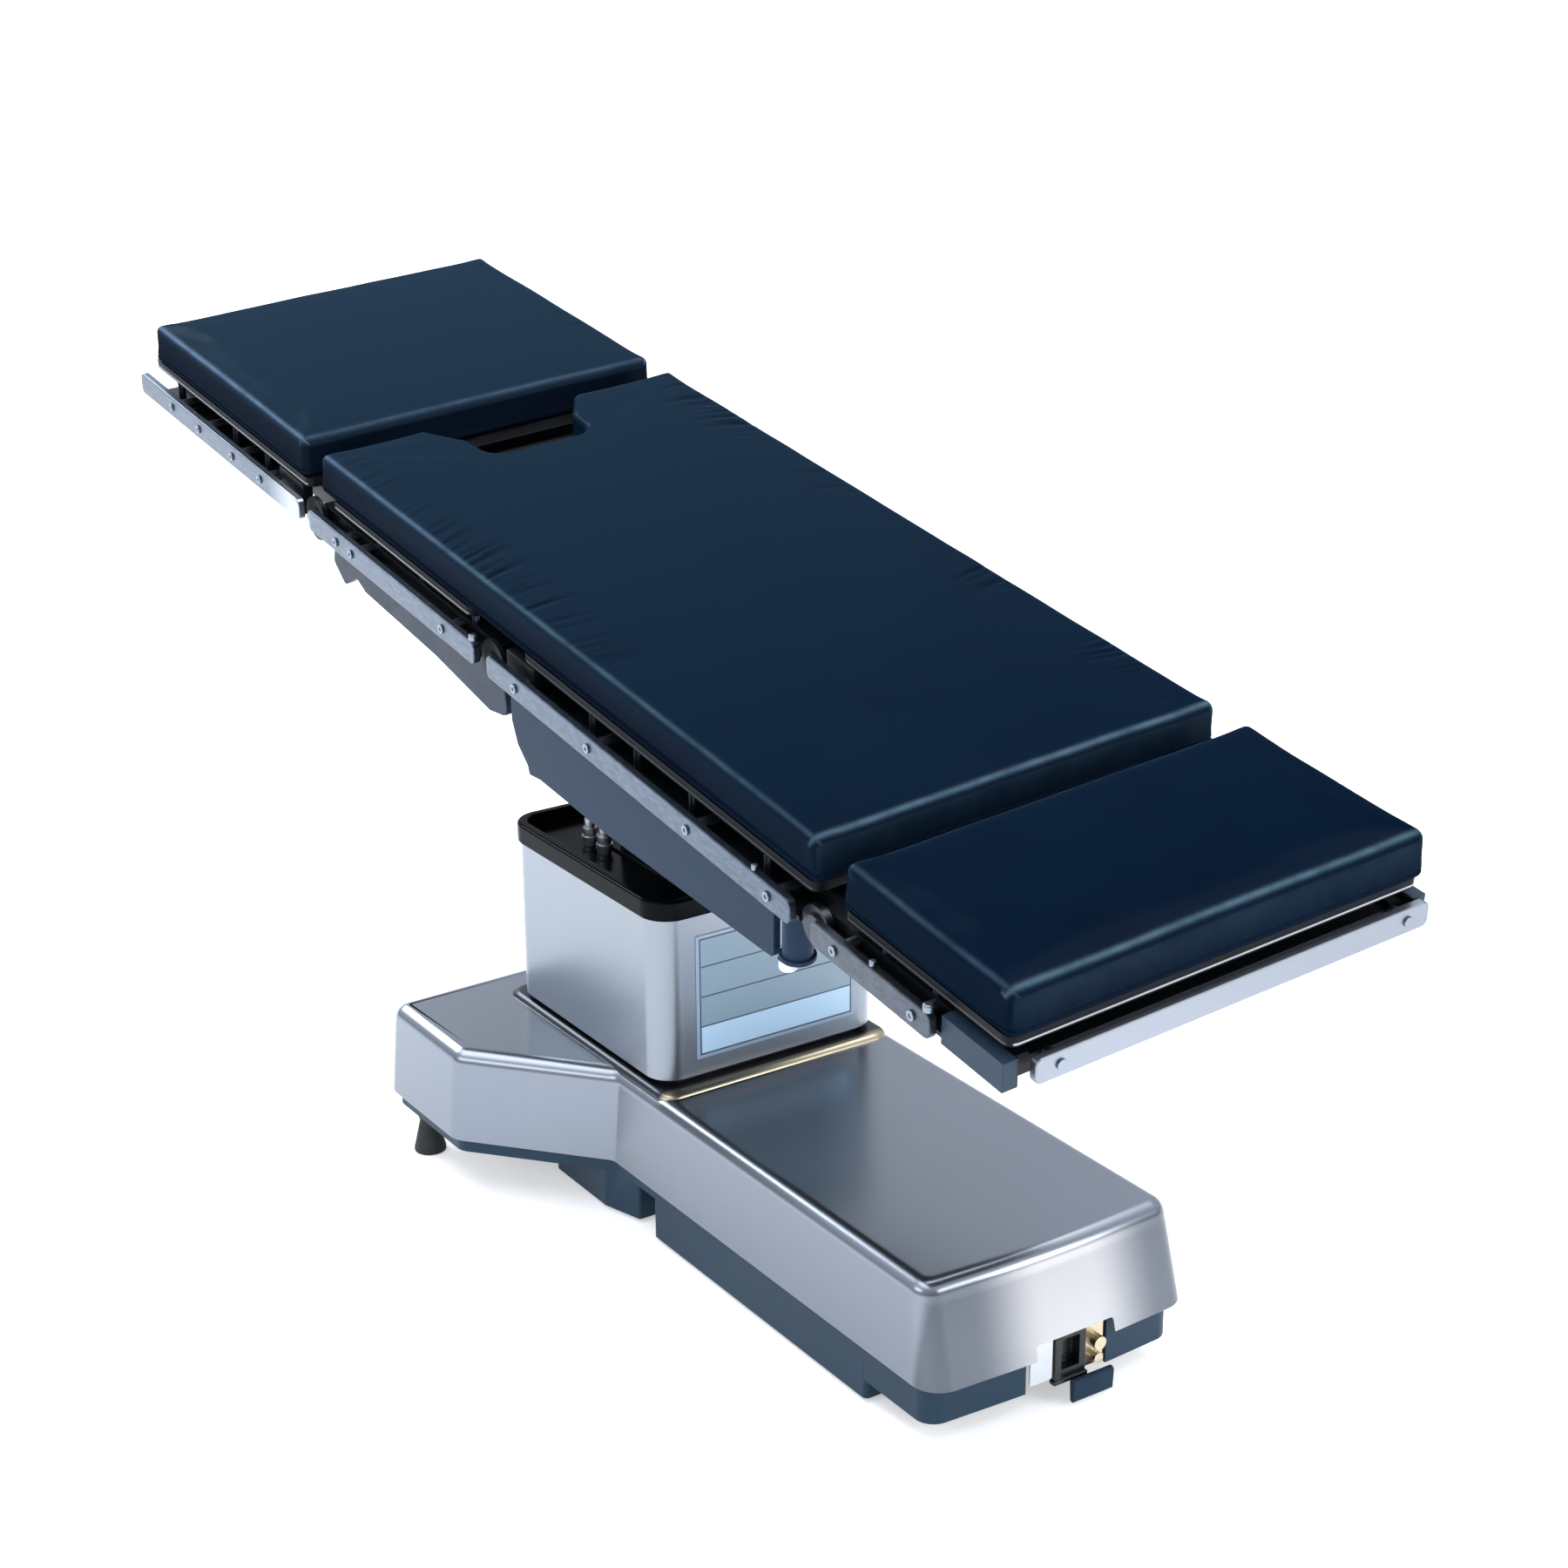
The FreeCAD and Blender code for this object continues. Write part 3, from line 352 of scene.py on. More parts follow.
def plate_material():
    """Blank printed-panel stand-in: pale blue-grey sheet with a dark border line and plain divisions, nothing written."""
    pale, dark = srgb(150, 172, 196), srgb(58, 70, 86)
    m = Mat("plate_face", pale, 0.30, 0.0, Coat_Weight=0.12, Coat_Roughness=0.18)
    xyz = m.split(m.coord)
    y0, y1, z0, z1 = -0.106, 0.118, 0.222, 0.378
    ey = m.math("MINIMUM", m.math("SUBTRACT", xyz[1], y0), m.math("SUBTRACT", y1, xyz[1]))
    ez = m.math("MINIMUM", m.math("SUBTRACT", xyz[2], z0), m.math("SUBTRACT", z1, xyz[2]))
    e = m.math("MINIMUM", ey, ez)
    frame_line = m.math("MULTIPLY", m.range(e, 0.0040, 0.0044, 0.0, 1.0), m.range(e, 0.0060, 0.0064, 1.0, 0.0))
    low = m.range(xyz[2], 0.262, 0.2625, 1.0, 0.0)
    inside = m.range(e, 0.0062, 0.0066, 0.0, 1.0)
    cloud = m.noise(m.mapped((1, 1, 1)), 18.0, 4.0, 0.6)
    body = m.mix(m.range(cloud, 0.3, 0.7, 0.0, 1.0), srgb(136, 159, 175), srgb(138, 161, 178))
    low_fill = m.mix(m.range(cloud, 0.3, 0.7, 0.0, 1.0), srgb(189, 223, 249), srgb(191, 225, 251))
    field = m.mix(low, body, low_fill)
    line = None
    for z in (0.2622, 0.300, 0.338):
        k = m.math("COMPARE", xyz[2], z, 0.0009)
        line = k if line is None else m.math("MAXIMUM", line, k)
    field = m.mix(m.math("MULTIPLY", line, inside), field, dark)
    field = m.mix(frame_line, m.mix(inside, pale, field), dark)
    m.color(field)
    m.rough(m.range(cloud, 0.3, 0.7, 0.29, 0.32))
    m.bump(m.math("MULTIPLY", frame_line, -1.0), 0.3, 0.0004)
    return m.mat


def frame_material():
    """Dark frame paint; the block at each corner of the head end is slate."""
    dark, slate = srgb(14, 17, 22), srgb(38, 54, 70)
    m = Mat("frame_paint", dark, 0.42, 0.0, Specular_IOR_Level=0.12)
    xyz = m.split(m.mapped((1, 1, 1), True))
    cloud = m.noise(m.mapped(), 12.0, 4.0, 0.6, 0.4)
    k = m.math("MULTIPLY", m.range(xyz[0], 0.8720, 0.8724, 0.0, 1.0), m.range(m.math("ABSOLUTE", xyz[1]), 0.2424, 0.2430, 0.0, 1.0))
    tone = m.range(cloud, 0.3, 0.7, 0.0, 1.0)
    m.color(m.mix(k, m.mix(tone, scaled(dark, 0.8), scaled(dark, 1.3)), m.mix(tone, scaled(slate, 0.92), scaled(slate, 1.08))))
    m.rough(m.range(cloud, 0.3, 0.7, 0.36, 0.5))
    m.bump(m.noise(m.mapped(), 420.0, 2.0, 0.5), 0.12, 0.0004)
    return m.mat


NAVY = (0.0004, 0.0046, 0.0140, 1.0)
M = {
    "cushion": vinyl("cushion_vinyl", NAVY),
    # painted light: the +X face of the column is painted lighter than its other faces
    "stainless": steel("stainless_column", (0.225, 0.250, 0.280, 1), 0.30, (700, 700, 6), painted_light_bands=((0.178, 0.184, 1.0, 1.1, (0.38, 0.41, 0.45, 1)),)),
    "stainless_cover": steel("stainless_cover", (0.32, 0.35, 0.40, 1), 0.25, (6, 800, 800),
                             # painted shade and reflection: darker walls, a near end face lighter in the middle and
                             # darker at its sides, and a dark painted reflection on the deck by the column
                             painted_cover_tones=((0.185, 0.208, 0.245, 1), (0.325, 0.325, 0.335, 1), (0.098, 0.108, 0.128, 1))),
    "rail_steel": steel("rail_steel", (0.072, 0.094, 0.130, 1), 0.32, (6, 900, 900), True, mottle=0.30,
                        # painted highlight: the rails are painted lighter between x -0.56 and -0.43, at the +X end of
                        # the leg rails
                        painted_light_bands=((-0.56, -0.49, -0.44, -0.43, (0.34, 0.36, 0.40, 1)),)),
    "head_rail_steel": steel("head_rail_steel", (0.062, 0.072, 0.090, 1), 0.34, (60, 600, 600), True, mottle=0.25,
                             # painted light: the end rail across the head end is painted lighter than the side rails
                             painted_light_bands=((0.952, 0.962, 2.0, 2.1, (0.21, 0.23, 0.265, 1)),)),
    "dark_frame": frame_material(),
    "slate_plastic": plastic("slate_plastic", srgb(34, 50, 68), 0.45, 420, 0.10, 1.15, Specular_IOR_Level=0.05),
    "slate_dark": plastic("slate_dark", srgb(28, 40, 56), 0.45, 420, 0.10, 1.2, Specular_IOR_Level=0.13),
    "skirt_plastic": plastic("skirt_plastic", srgb(23, 49, 67), 0.46, 360, 0.12, 1.25, Specular_IOR_Level=0.2),
    "black_plastic": plastic("black_plastic", srgb(12, 14, 17), 0.30, 400, 0.06, 1.6, Specular_IOR_Level=0.4),
    "cap_gloss": plastic("cap_gloss", srgb(4, 9, 12), 0.20, 200, 0.01, 1.3, Specular_IOR_Level=0.03, Coat_Weight=0.035, Coat_Roughness=0.05),
    "black_rubber": rubber("black_rubber", srgb(17, 19, 22)),
    "wheel_rubber": rubber("wheel_rubber", srgb(40, 44, 50), 0.6),
    "chrome": polished("chrome", (0.70, 0.72, 0.74, 1), 0.12),
    "satin_nickel": polished("satin_nickel", (0.50, 0.52, 0.54, 1), 0.34),
    "dark_steel": steel("dark_steel", (0.045, 0.050, 0.060, 1), 0.36, (300, 300, 300), True),
    "steel": steel("zinc_steel", (0.40, 0.42, 0.45, 1), 0.34, (60, 60, 60)),
    "cast_iron": plastic("cast_iron", srgb(34, 38, 44), 0.62, 900, 0.3, 1.4),
    "brass": polished("brass", (0.58, 0.50, 0.36, 1), 0.26),
    "board": board_material(),
    "plate_face": plate_material(),
    "motor_paint": plastic("motor_paint", srgb(60, 66, 74), 0.5, 500, 0.15, 1.3),
    # painted shade: screws and bosses between x 0.632 and 0.692, by the head hinge, are painted dark as the shaded gap
    # between the rails
    "screw_steel": steel("screw_steel", (0.20, 0.23, 0.28, 1), 0.34, (300, 300, 300), True, painted_light_bands=((0.632, 0.634, 0.690, 0.692, (0.035, 0.040, 0.048, 1)),)),
    # painted reflection: the column seat is painted dark for the dark reflection round the column, with a painted tan
    # glint on its +X side
    "plinth_steel": steel("plinth_steel", (0.055, 0.060, 0.070, 1), 0.30, (6, 800, 800), painted_glint=(0.50, 0.43, 0.31, 1)),
    "tab_steel": steel("tab_steel", (0.55, 0.58, 0.62, 1), 0.28, (3, 220, 220)),
    "white_plastic": plastic("white_plastic", srgb(205, 210, 215), 0.4, 400, 0.06, 1.05),
}


# ------------------------------------------------------------------ refined copies of the hard CAD parts
slot_of = {s["node"]: s.get("material_slot") for s in frame["record"]["subparts"]}
body_of = {n: b for b, ns in frame["record"]["behaviour"]["bodies"].items() for n in ns}


def give(obj, mat):
    obj.data.materials.clear()
    obj.data.materials.append(mat)


def put(name, me, body, slot, mat, *nodes):
    """A new piece that rides on a body, takes a material and stands for CAD nodes."""
    o = bpy.data.objects.new(name, me)
    scene.collection.objects.link(o)
    give(o, mat)
    if body:
        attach(o, body)
    if nodes:
        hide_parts(*nodes)
    return o


def soften(bm, width, segments=2, angle=28.0, flat=0.25):
    """Joins the split corners, clears the flat triangles and rounds the sharp edges."""
    bmesh.ops.remove_doubles(bm, verts=bm.verts, dist=4e-6)
    bmesh.ops.dissolve_limit(bm, angle_limit=rad(flat), verts=bm.verts, edges=bm.edges)
    bm.normal_update()
    hard = [e for e in bm.edges if e.is_manifold and len(e.link_faces) == 2 and e.calc_face_angle(0) > rad(angle)]
    if width > 0 and hard:
        bmesh.ops.bevel(bm, geom=hard, offset=width, offset_type="OFFSET", segments=segments, profile=0.5,
                        affect="EDGES", clamp_overlap=True, miter_outer="ARC", harden_normals=False)
    bm.normal_update()


def finish_shading(o, angle=32.0):
    """Smooth shading with weighted normals, kept as plain mesh data."""
    me = o.data
    me.polygons.foreach_set("use_smooth", [True] * len(me.polygons))
    me.set_sharp_from_angle(angle=rad(angle))
    w = o.modifiers.new("weighted", "WEIGHTED_NORMAL")
    w.keep_sharp = True
    w.weight = 80
    bpy.context.view_layer.update()
    dg = bpy.context.evaluated_depsgraph_get()
    new = bpy.data.meshes.new_from_object(o.evaluated_get(dg))
    o.modifiers.clear()
    o.data = new


def refine(node, mat, width=0.0008, segments=2, angle=28.0, name=None):
    src = frame["nodes"][node]
    bm = bmesh.new()
    bm.from_mesh(src.data)
    soften(bm, width, segments, angle)
    me = bpy.data.meshes.new(node + "_fine")
    bm.to_mesh(me)
    bm.free()
    o = bpy.data.objects.new(name or node + "_fine", me)
    scene.collection.objects.link(o)
    give(o, mat)
    finish_shading(o)
    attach(o, body_of[node])
    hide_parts(node)
    return o


for n, o in frame["nodes"].items():
    give(o, M[slot_of[n]])
for n in frame["nodes"]:
    if n.startswith("caster_wheel"):
        give(frame["nodes"][n], M["wheel_rubber"])

REFINED = {
    "shroud_outer": ("stainless", 0.0005, 2), "shroud_middle": ("stainless", 0.0004, 2),
    "shroud_inner": ("stainless", 0.0004, 2), "cap_bezel": ("cap_gloss", 0.0022, 4), "column_gasket": ("black_rubber", 0.0025, 3),
    "base_skirt": ("skirt_plastic", 0.0018, 3), "base_feet": ("black_rubber", 0.0010, 2), "power_inlet": ("black_plastic", 0.0010, 2),
    "ground_terminal": ("brass", 0.0008, 2), "inlet_flap": ("slate_plastic", 0.0008, 2), "data_plate": ("plate_face", 0.0003, 2),
    "column_head": ("dark_frame", 0.0016, 3), "hydraulic_fittings": ("satin_nickel", 0.0008, 2),
    "seat_frame": ("dark_frame", 0.0012, 2), "leg_frame": ("dark_frame", 0.0012, 2), "back_frame": ("dark_frame", 0.0012, 2),
    "head_frame": ("dark_frame", 0.0012, 2), "seat_saddle": ("dark_frame", 0.0015, 2), "seat_side_plates": ("slate_dark", 0.0016, 3),
    "back_side_covers": ("slate_plastic", 0.0018, 3), "head_lock_knuckles": ("slate_plastic", 0.0022, 3),
    "leg_side_rails": ("rail_steel", 0.0014, 3), "seat_side_rails": ("rail_steel", 0.0014, 3), "back_side_rails": ("rail_steel", 0.0014, 3),
    "head_rails": ("head_rail_steel", 0.0014, 3),
    "leg_board": ("board", 0.0012, 2), "seat_board": ("board", 0.0012, 2), "back_board": ("board", 0.0012, 2), "head_board": ("board", 0.0012, 2),
    "leg_fasteners": ("screw_steel", 0.0005, 2), "seat_fasteners": ("screw_steel", 0.0005, 2), "back_fasteners": ("screw_steel", 0.0005, 2),
    "head_fasteners": ("screw_steel", 0.0005, 2), "hinge_pins": ("dark_frame", 0.0006, 2), "trunnion_pins": ("steel", 0.0006, 2),
    "fixed_caster_forks": ("steel", 0.0008, 2), "caster_fork_left": ("steel", 0.0008, 2), "caster_fork_right": ("steel", 0.0008, 2),
}
for node_name, (mat_name, width, seg) in REFINED.items():
    refine(node_name, M[mat_name], width, seg)


# ------------------------------------------------------------------ outlines and lofts
def rounded(pts, n=7):
    """Closed outline of (x, y, radius) in mm as points, each corner an arc of n steps."""
    out = []
    k = len(pts)
    for i in range(k):
        x, y, r = pts[i]
        ax, ay = pts[i - 1][0] - x, pts[i - 1][1] - y
        bx, by = pts[(i + 1) % k][0] - x, pts[(i + 1) % k][1] - y
        la, lb = math.hypot(ax, ay), math.hypot(bx, by)
        ax, ay, bx, by = ax / la, ay / la, bx / lb, by / lb
        half = math.acos(max(-1, min(1, ax * bx + ay * by))) / 2
        t = min(r / math.tan(half), 0.48 * la, 0.48 * lb)
        r = t * math.tan(half)
        cx, cy = x + (ax + bx) / math.hypot(ax + bx, ay + by) * r / math.sin(half), y + (ay + by) / math.hypot(ax + bx, ay + by) * r / math.sin(half)
        a0 = math.atan2(y + ay * t - cy, x + ax * t - cx)
        a1 = math.atan2(y + by * t - cy, x + bx * t - cx)
        d = (a1 - a0 + math.pi) % (2 * math.pi) - math.pi
        for s in range(n + 1):
            a = a0 + d * s / n
            out.append((cx + r * math.cos(a), cy + r * math.sin(a)))
    return out


def skin(bm, loops, close_first=True, close_last=True):
    """Joins equal closed loops of points (mm) with quads; returns the vertex rings."""
    rings = [[bm.verts.new((x / 1000 + XS, y / 1000, z / 1000)) for x, y, z in lp] for lp in loops]
    n = len(rings[0])
    for a, b in zip(rings[:-1], rings[1:]):
        for i in range(n):
            j = (i + 1) % n
            bm.faces.new((a[i], a[j], b[j], b[i]))
    if close_first:
        bm.faces.new(list(reversed(rings[0])))
    if close_last:
        bm.faces.new(rings[-1])
    return rings


def cut_with(o, box_lo, box_hi, r):
    """Cuts a round-cornered box (part frame, mm) out of an object."""
    bm = bmesh.new()
    bmesh.ops.create_cube(bm, size=1.0)
    for v in bm.verts:
        v.co = Vector([(box_lo[i] if v.co[i] < 0 else box_hi[i]) / 1000 + (XS if i == 0 else 0) for i in range(3)])
    edges = [e for e in bm.edges if abs(e.verts[0].co.x - e.verts[1].co.x) > 1e-6]
    bmesh.ops.bevel(bm, geom=edges, offset=r / 1000, segments=4, profile=0.5, affect="EDGES")
    me = bpy.data.meshes.new("cutter")
    bm.to_mesh(me)
    bm.free()
    c = bpy.data.objects.new("cutter", me)
    scene.collection.objects.link(c)
    m = o.modifiers.new("cut", "BOOLEAN")
    m.operation, m.solver, m.object = "DIFFERENCE", "EXACT", c
    bpy.context.view_layer.update()
    new = bpy.data.meshes.new_from_object(o.evaluated_get(bpy.context.evaluated_depsgraph_get()))
    o.modifiers.clear()
    o.data = new
    bpy.data.objects.remove(c)


def as_object(name, bm, mat, body, angle=35.0):
    bmesh.ops.recalc_face_normals(bm, faces=bm.faces)
    me = bpy.data.meshes.new(name)
    bm.to_mesh(me)
    bm.free()
    me.polygons.foreach_set("use_smooth", [True] * len(me.polygons))
    me.set_sharp_from_angle(angle=rad(angle))
    o = bpy.data.objects.new(name, me)
    scene.collection.objects.link(o)
    give(o, mat)
    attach(o, body)
    return o


# ------------------------------------------------------------------ pressed steel cover of the base
DECK, EDGE_R, RIM_Z, WALL, LEAN = 189.4, 18.0, 75.5, 2.5, 17.0
Z_EDGE = DECK - EDGE_R


def base_outline(off, lean):
    n, w, hn, hw, fx, wx = 693.5 + lean, -246.5, 167.3, 299.2, 83.0, -73.2
    k = off * math.tan(math.atan2(hw - hn, fx - wx) / 2)
    cv, cc, far_r = 24.0 + off, 26.0 - off, 21.0 + off
    return rounded([
        (w - off, -(hw + off), far_r), (wx + k, -(hw + off), cv), (fx + k, -(hn + off), cc),
        (n + off, -(hn + off), cv), (n + 9 + off, 0, 1500.0), (n + off, hn + off, cv),
        (fx + k, hn + off, cc), (wx + k, hw + off, cv), (w - off, hw + off, far_r),
        (w - 7 - off, 0, 3000.0)], 10)


def cover_loops(wall):
    out = []
    for z in (RIM_Z, RIM_Z + 1.0, 84.0, 100.0, 118.0, 136.0, 154.0, Z_EDGE - 6):
        t = (z - RIM_Z) / (Z_EDGE - RIM_Z)
        out.append((z, 8.9 + (1.4 - 8.9) * t - wall, LEAN * (1 - t)))
    r = EDGE_R - wall
    for k in range(0, 91, 6):
        a = rad(k)
        out.append((Z_EDGE + r * math.sin(a), 1.4 - wall - r * (1 - math.cos(a)), 0.0))
    top = out[-1]
    out += [(top[0], top[1] - 3.0, 0.0), (top[0], top[1] - 9.0, 0.0)]
    return [[(x, y, z) for x, y in base_outline(off, lean)] for z, off, lean in out]


bm = bmesh.new()
outer = cover_loops(0.0)
inner = cover_loops(WALL)
rim = [[(x, y, RIM_Z - 0.5) for x, y in base_outline(8.9 - 0.5, LEAN)], [(x, y, RIM_Z - 0.5) for x, y in base_outline(8.9 - WALL + 0.5, LEAN)]]
skin(bm, list(reversed(outer)) + rim + inner)
base_cover = as_object("base_cover_fine", bm, M["stainless_cover"], "base")
cut_with(base_cover, (680, -40, 55), (760, 66, 92), 4.0)
base_cover.data.polygons.foreach_set("use_smooth", [True] * len(base_cover.data.polygons))
base_cover.data.set_sharp_from_angle(angle=rad(35))
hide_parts("base_cover")

# raised seat for the column, pressed up out of the deck
bm = bmesh.new()
profile = ((1.0, -4.5), (1.2, -2.0), (1.7, 0.0), (2.6, 1.8), (3.9, 3.4), (5.6, 4.7), (7.8, 5.6), (10.5, 6.0), (14.0, 6.0))
skin(bm, [[(x, y, DECK + z) for x, y in rounded([(-197 + d, -164 + d, 22), (189 - d, -164 + d, 22), (189 - d, 164 - d, 22), (-197 + d, 164 - d, 22)], 9)]
          for d, z in profile])
plinth = as_object("column_seat", bm, M["plinth_steel"], "base")

# bent tab beside the power inlet
bm = bmesh.new()
side_pts = rounded([(-38, 36, 3), (-8, 36, 3), (-8, 94, 1.2), (-38, 94, 1.2)], 4)
a = [bm.verts.new((0.711 + XS, y / 1000, z / 1000)) for y, z in side_pts]
b = [bm.verts.new((0.7085 + XS, y / 1000, z / 1000)) for y, z in side_pts]
for i in range(len(a)):
    j = (i + 1) % len(a)
    bm.faces.new((a[i], a[j], b[j], b[i]))
bm.faces.new(a)
bm.faces.new(list(reversed(b)))
tab = as_object("inlet_tab", bm, M["tab_steel"], "base")
m = tab.modifiers.new("edge", "BEVEL")
m.width, m.segments, m.limit_method = 0.0004, 2, "ANGLE"


# ------------------------------------------------------------------ small light parts that share a node in the frame
def turned(name, profile, at, axis, mat, body, steps=40):
    """Solid of revolution: profile of (radius, height) in mm, set at a row-frame point along an axis."""
    bm = bmesh.new()
    rows = []
    for r, h in profile:
        rows.append([bm.verts.new((r * math.cos(2 * math.pi * k / steps) / 1000, r * math.sin(2 * math.pi * k / steps) / 1000, h / 1000)) for k in range(steps)])
    for p0, p1 in zip(rows[:-1], rows[1:]):
        for i in range(steps):
            j = (i + 1) % steps
            bm.faces.new((p0[i], p0[j], p1[j], p1[i]))
    bm.faces.new(list(reversed(rows[0])))
    bm.faces.new(rows[-1])
    rot = Vector((0, 0, 1)).rotation_difference(axis).to_matrix().to_4x4()
    bm.transform(Matrix.Translation(at) @ rot)
    return as_object(name, bm, mat, body)


def block(name, lo, hi, mat, body, slot, width=0.9):
    """Small chamfered block given by two corners in the top's frame (mm)."""
    bm = bmesh.new()
    bmesh.ops.create_cube(bm, size=1.0)
    for v in bm.verts:
        v.co = Vector([(lo[i] + hi[i]) / 2 + v.co[i] * (hi[i] - lo[i]) for i in range(3)])
    bmesh.ops.bevel(bm, geom=bm.edges[:], offset=width, offset_type="OFFSET", segments=3, profile=0.5, affect="EDGES")
    for v in bm.verts:
        v.co /= 1000
    bm.transform(TOP)
    return as_object_m(name, bm, mat, body, slot)


def as_object_m(name, bm, mat, body, slot):
    me = bpy.data.meshes.new(name)
    bm.to_mesh(me)
    bm.free()
    me.polygons.foreach_set("use_smooth", [True] * len(me.polygons))
    me.set_sharp_from_angle(angle=rad(50))
    return put(name, me, body, slot, mat)


# closing webs of the leg and back sections beside their hinges
for sy, tag in ((-1, "left"), (1, "right")):
    ys = sorted((sy * 239.5, sy * 253.0))
    block("leg_hinge_web_" + tag, (-553.0, ys[0], -98.3), (-485.0, ys[1], -65.3), M["dark_frame"], "leg", "dark_frame")
    block("back_hinge_web_" + tag, (42.5, ys[0], -98.3), (104.0, ys[1], -65.3), M["dark_frame"], "back", "dark_frame")

down = (TOP.to_3x3() @ Vector((0, 0, -1))).normalized()
for sy, tag in ((-1, "left"), (1, "right")):
    turned("knuckle_plug_" + tag, ((8.4, 0), (9.5, 0.4), (9.8, 1.4), (9.8, 11.0), (9.0, 12.6), (7.2, 13.4), (3.4, 13.6), (2.6, 12.4), (0.6, 12.2)),
           at_top(591.5, sy * 238.5, -177.5), down, M["white_plastic"], "back")


# ------------------------------------------------------------------ cushions
def inset_at(depth, r):
    return 0.0 if depth >= r else r - math.sqrt(max(0.0, r * r - (r - depth) ** 2))


HALF_W, PAD_T = 254.2, 52.5


def pad_outline(x0, x1, ox, oy, corner, cut=None):
    rc = max(1.5, corner - max(ox, oy) * 0.8)
    a = [(x0 + ox, -HALF_W + oy, rc), (x1 - ox, -HALF_W + oy, rc), (x1 - ox, HALF_W - oy, rc), (x0 + ox, HALF_W - oy, rc)]
    if cut:
        depth, h_in, h_mouth = cut
        xi = x0 + depth + oy
        a += [(x0 + ox, h_mouth + 7 + oy, 7), (x0 + 12 + ox, h_mouth + oy, 14), (xi - 62, h_in + 4 + oy, 20), (xi, h_in + oy, 30 + oy),
              (xi, -h_in - oy, 30 + oy), (xi - 62, -h_in - 4 - oy, 20), (x0 + 12 + ox, -h_mouth - oy, 14), (x0 + ox, -h_mouth - 7 - oy, 7)]
    return rounded(a)


def pad_solid(x0, x1, cut=None, shrink=0.8, drop=1.6, r_side=9.0, r_end=14.0, corner=12.0, fine=True):
    """Closed cushion body in the top's frame (mm): rounded top edges, drawn-in lower edge."""
    z_top, z_bot = -drop, -PAD_T + 0.4
    depths = [0, 0.25, 0.7, 1.4, 2.3, 3.5, 5.0, 6.8, 9.0, 11.5, 15.0, 22.0, 30.0, 38.0] if fine else [0, 2, 6, 12, 22, 36]
    rings = []
    for d in depths:
        rings.append((z_top - d, shrink + inset_at(d, r_end), shrink + inset_at(d, r_side)))
    height = z_top - z_bot
    seam = ((10.6, 0.1), (9.4, 0.9), (8.6, 1.5), (7.8, 0.9), (6.8, 0.1), (4.6, 0.4), (2.6, 1.4), (1.1, 2.8), (0.0, 4.4))
    for d, extra in (seam if fine else ((4, 0.6), (0, 3.5))):
        rings.append((z_bot + d, shrink + extra, shrink + extra))
    bm = bmesh.new()
    loops = []
    for z, ox, oy in rings:
        loops.append([bm.verts.new((x, y, z)) for x, y in pad_outline(x0, x1, ox, oy, corner, cut)])
    n = len(loops[0])
    for a, b in zip(loops[:-1], loops[1:]):
        for i in range(n):
            j = (i + 1) % n
            bm.faces.new((a[i], a[j], b[j], b[i]))
    bm.faces.new(loops[0])
    bm.faces.new(list(reversed(loops[-1])))
    bmesh.ops.recalc_face_normals(bm, faces=bm.faces)
    return bm


def swell(x0, x1, cut, cap, voxel):
    """Cloth simulation of the cushion cover: a remeshed copy is inflated against its pinned underside. Returns the points and how far each moved (mm)."""
    bm = pad_solid(x0, x1, cut, fine=False)
    for v in bm.verts:
        v.co /= 1000
    me = bpy.data.meshes.new("swell")
    bm.to_mesh(me)
    bm.free()
    o = bpy.data.objects.new("swell", me)
    scene.collection.objects.link(o)
    r = o.modifiers.new("remesh", "REMESH")
    r.mode = "VOXEL"
    r.voxel_size = voxel
    bpy.context.view_layer.update()
    base = bpy.data.meshes.new_from_object(o.evaluated_get(bpy.context.evaluated_depsgraph_get()))
    o.modifiers.clear()
    o.data = base
    rest = np.array([v.co for v in base.vertices])
    pins = o.vertex_groups.new(name="under")
    pins.add([int(i) for i in np.nonzero(rest[:, 2] < -0.0475)[0]], 1.0, "REPLACE")
    c = o.modifiers.new("cloth", "CLOTH")
    s = c.settings
    s.quality = 5
    s.mass = 0.35
    s.tension_stiffness = s.compression_stiffness = 22.0
    s.shear_stiffness = 12.0
    s.bending_stiffness = 0.8
    s.use_pressure = True
    s.uniform_pressure_force = 4.0
    s.vertex_group_mass = "under"
    s.effector_weights.gravity = 0.0
    c.collision_settings.use_collision = False
    c.point_cache.frame_start, c.point_cache.frame_end = 1, 24
    for f in range(1, 21):
        scene.frame_set(f)
    moved = bpy.data.meshes.new_from_object(o.evaluated_get(bpy.context.evaluated_depsgraph_get()))
    now = np.array([v.co for v in moved.vertices])
    scene.frame_set(1)
    bpy.data.objects.remove(o)
    d = (now - rest) * 1000
    length = np.linalg.norm(d, axis=1, keepdims=True)
    d *= cap * np.tanh(length / cap) / np.maximum(length, 1e-9)
    return rest * 1000, d


def slices(bm, values, axis):
    no = [0, 0, 0]
    no[axis] = 1
    for k in values:
        co = [0, 0, 0]
        co[axis] = float(k)
        bmesh.ops.bisect_plane(bm, geom=bm.verts[:] + bm.edges[:] + bm.faces[:], dist=0.3, plane_co=co, plane_no=no)


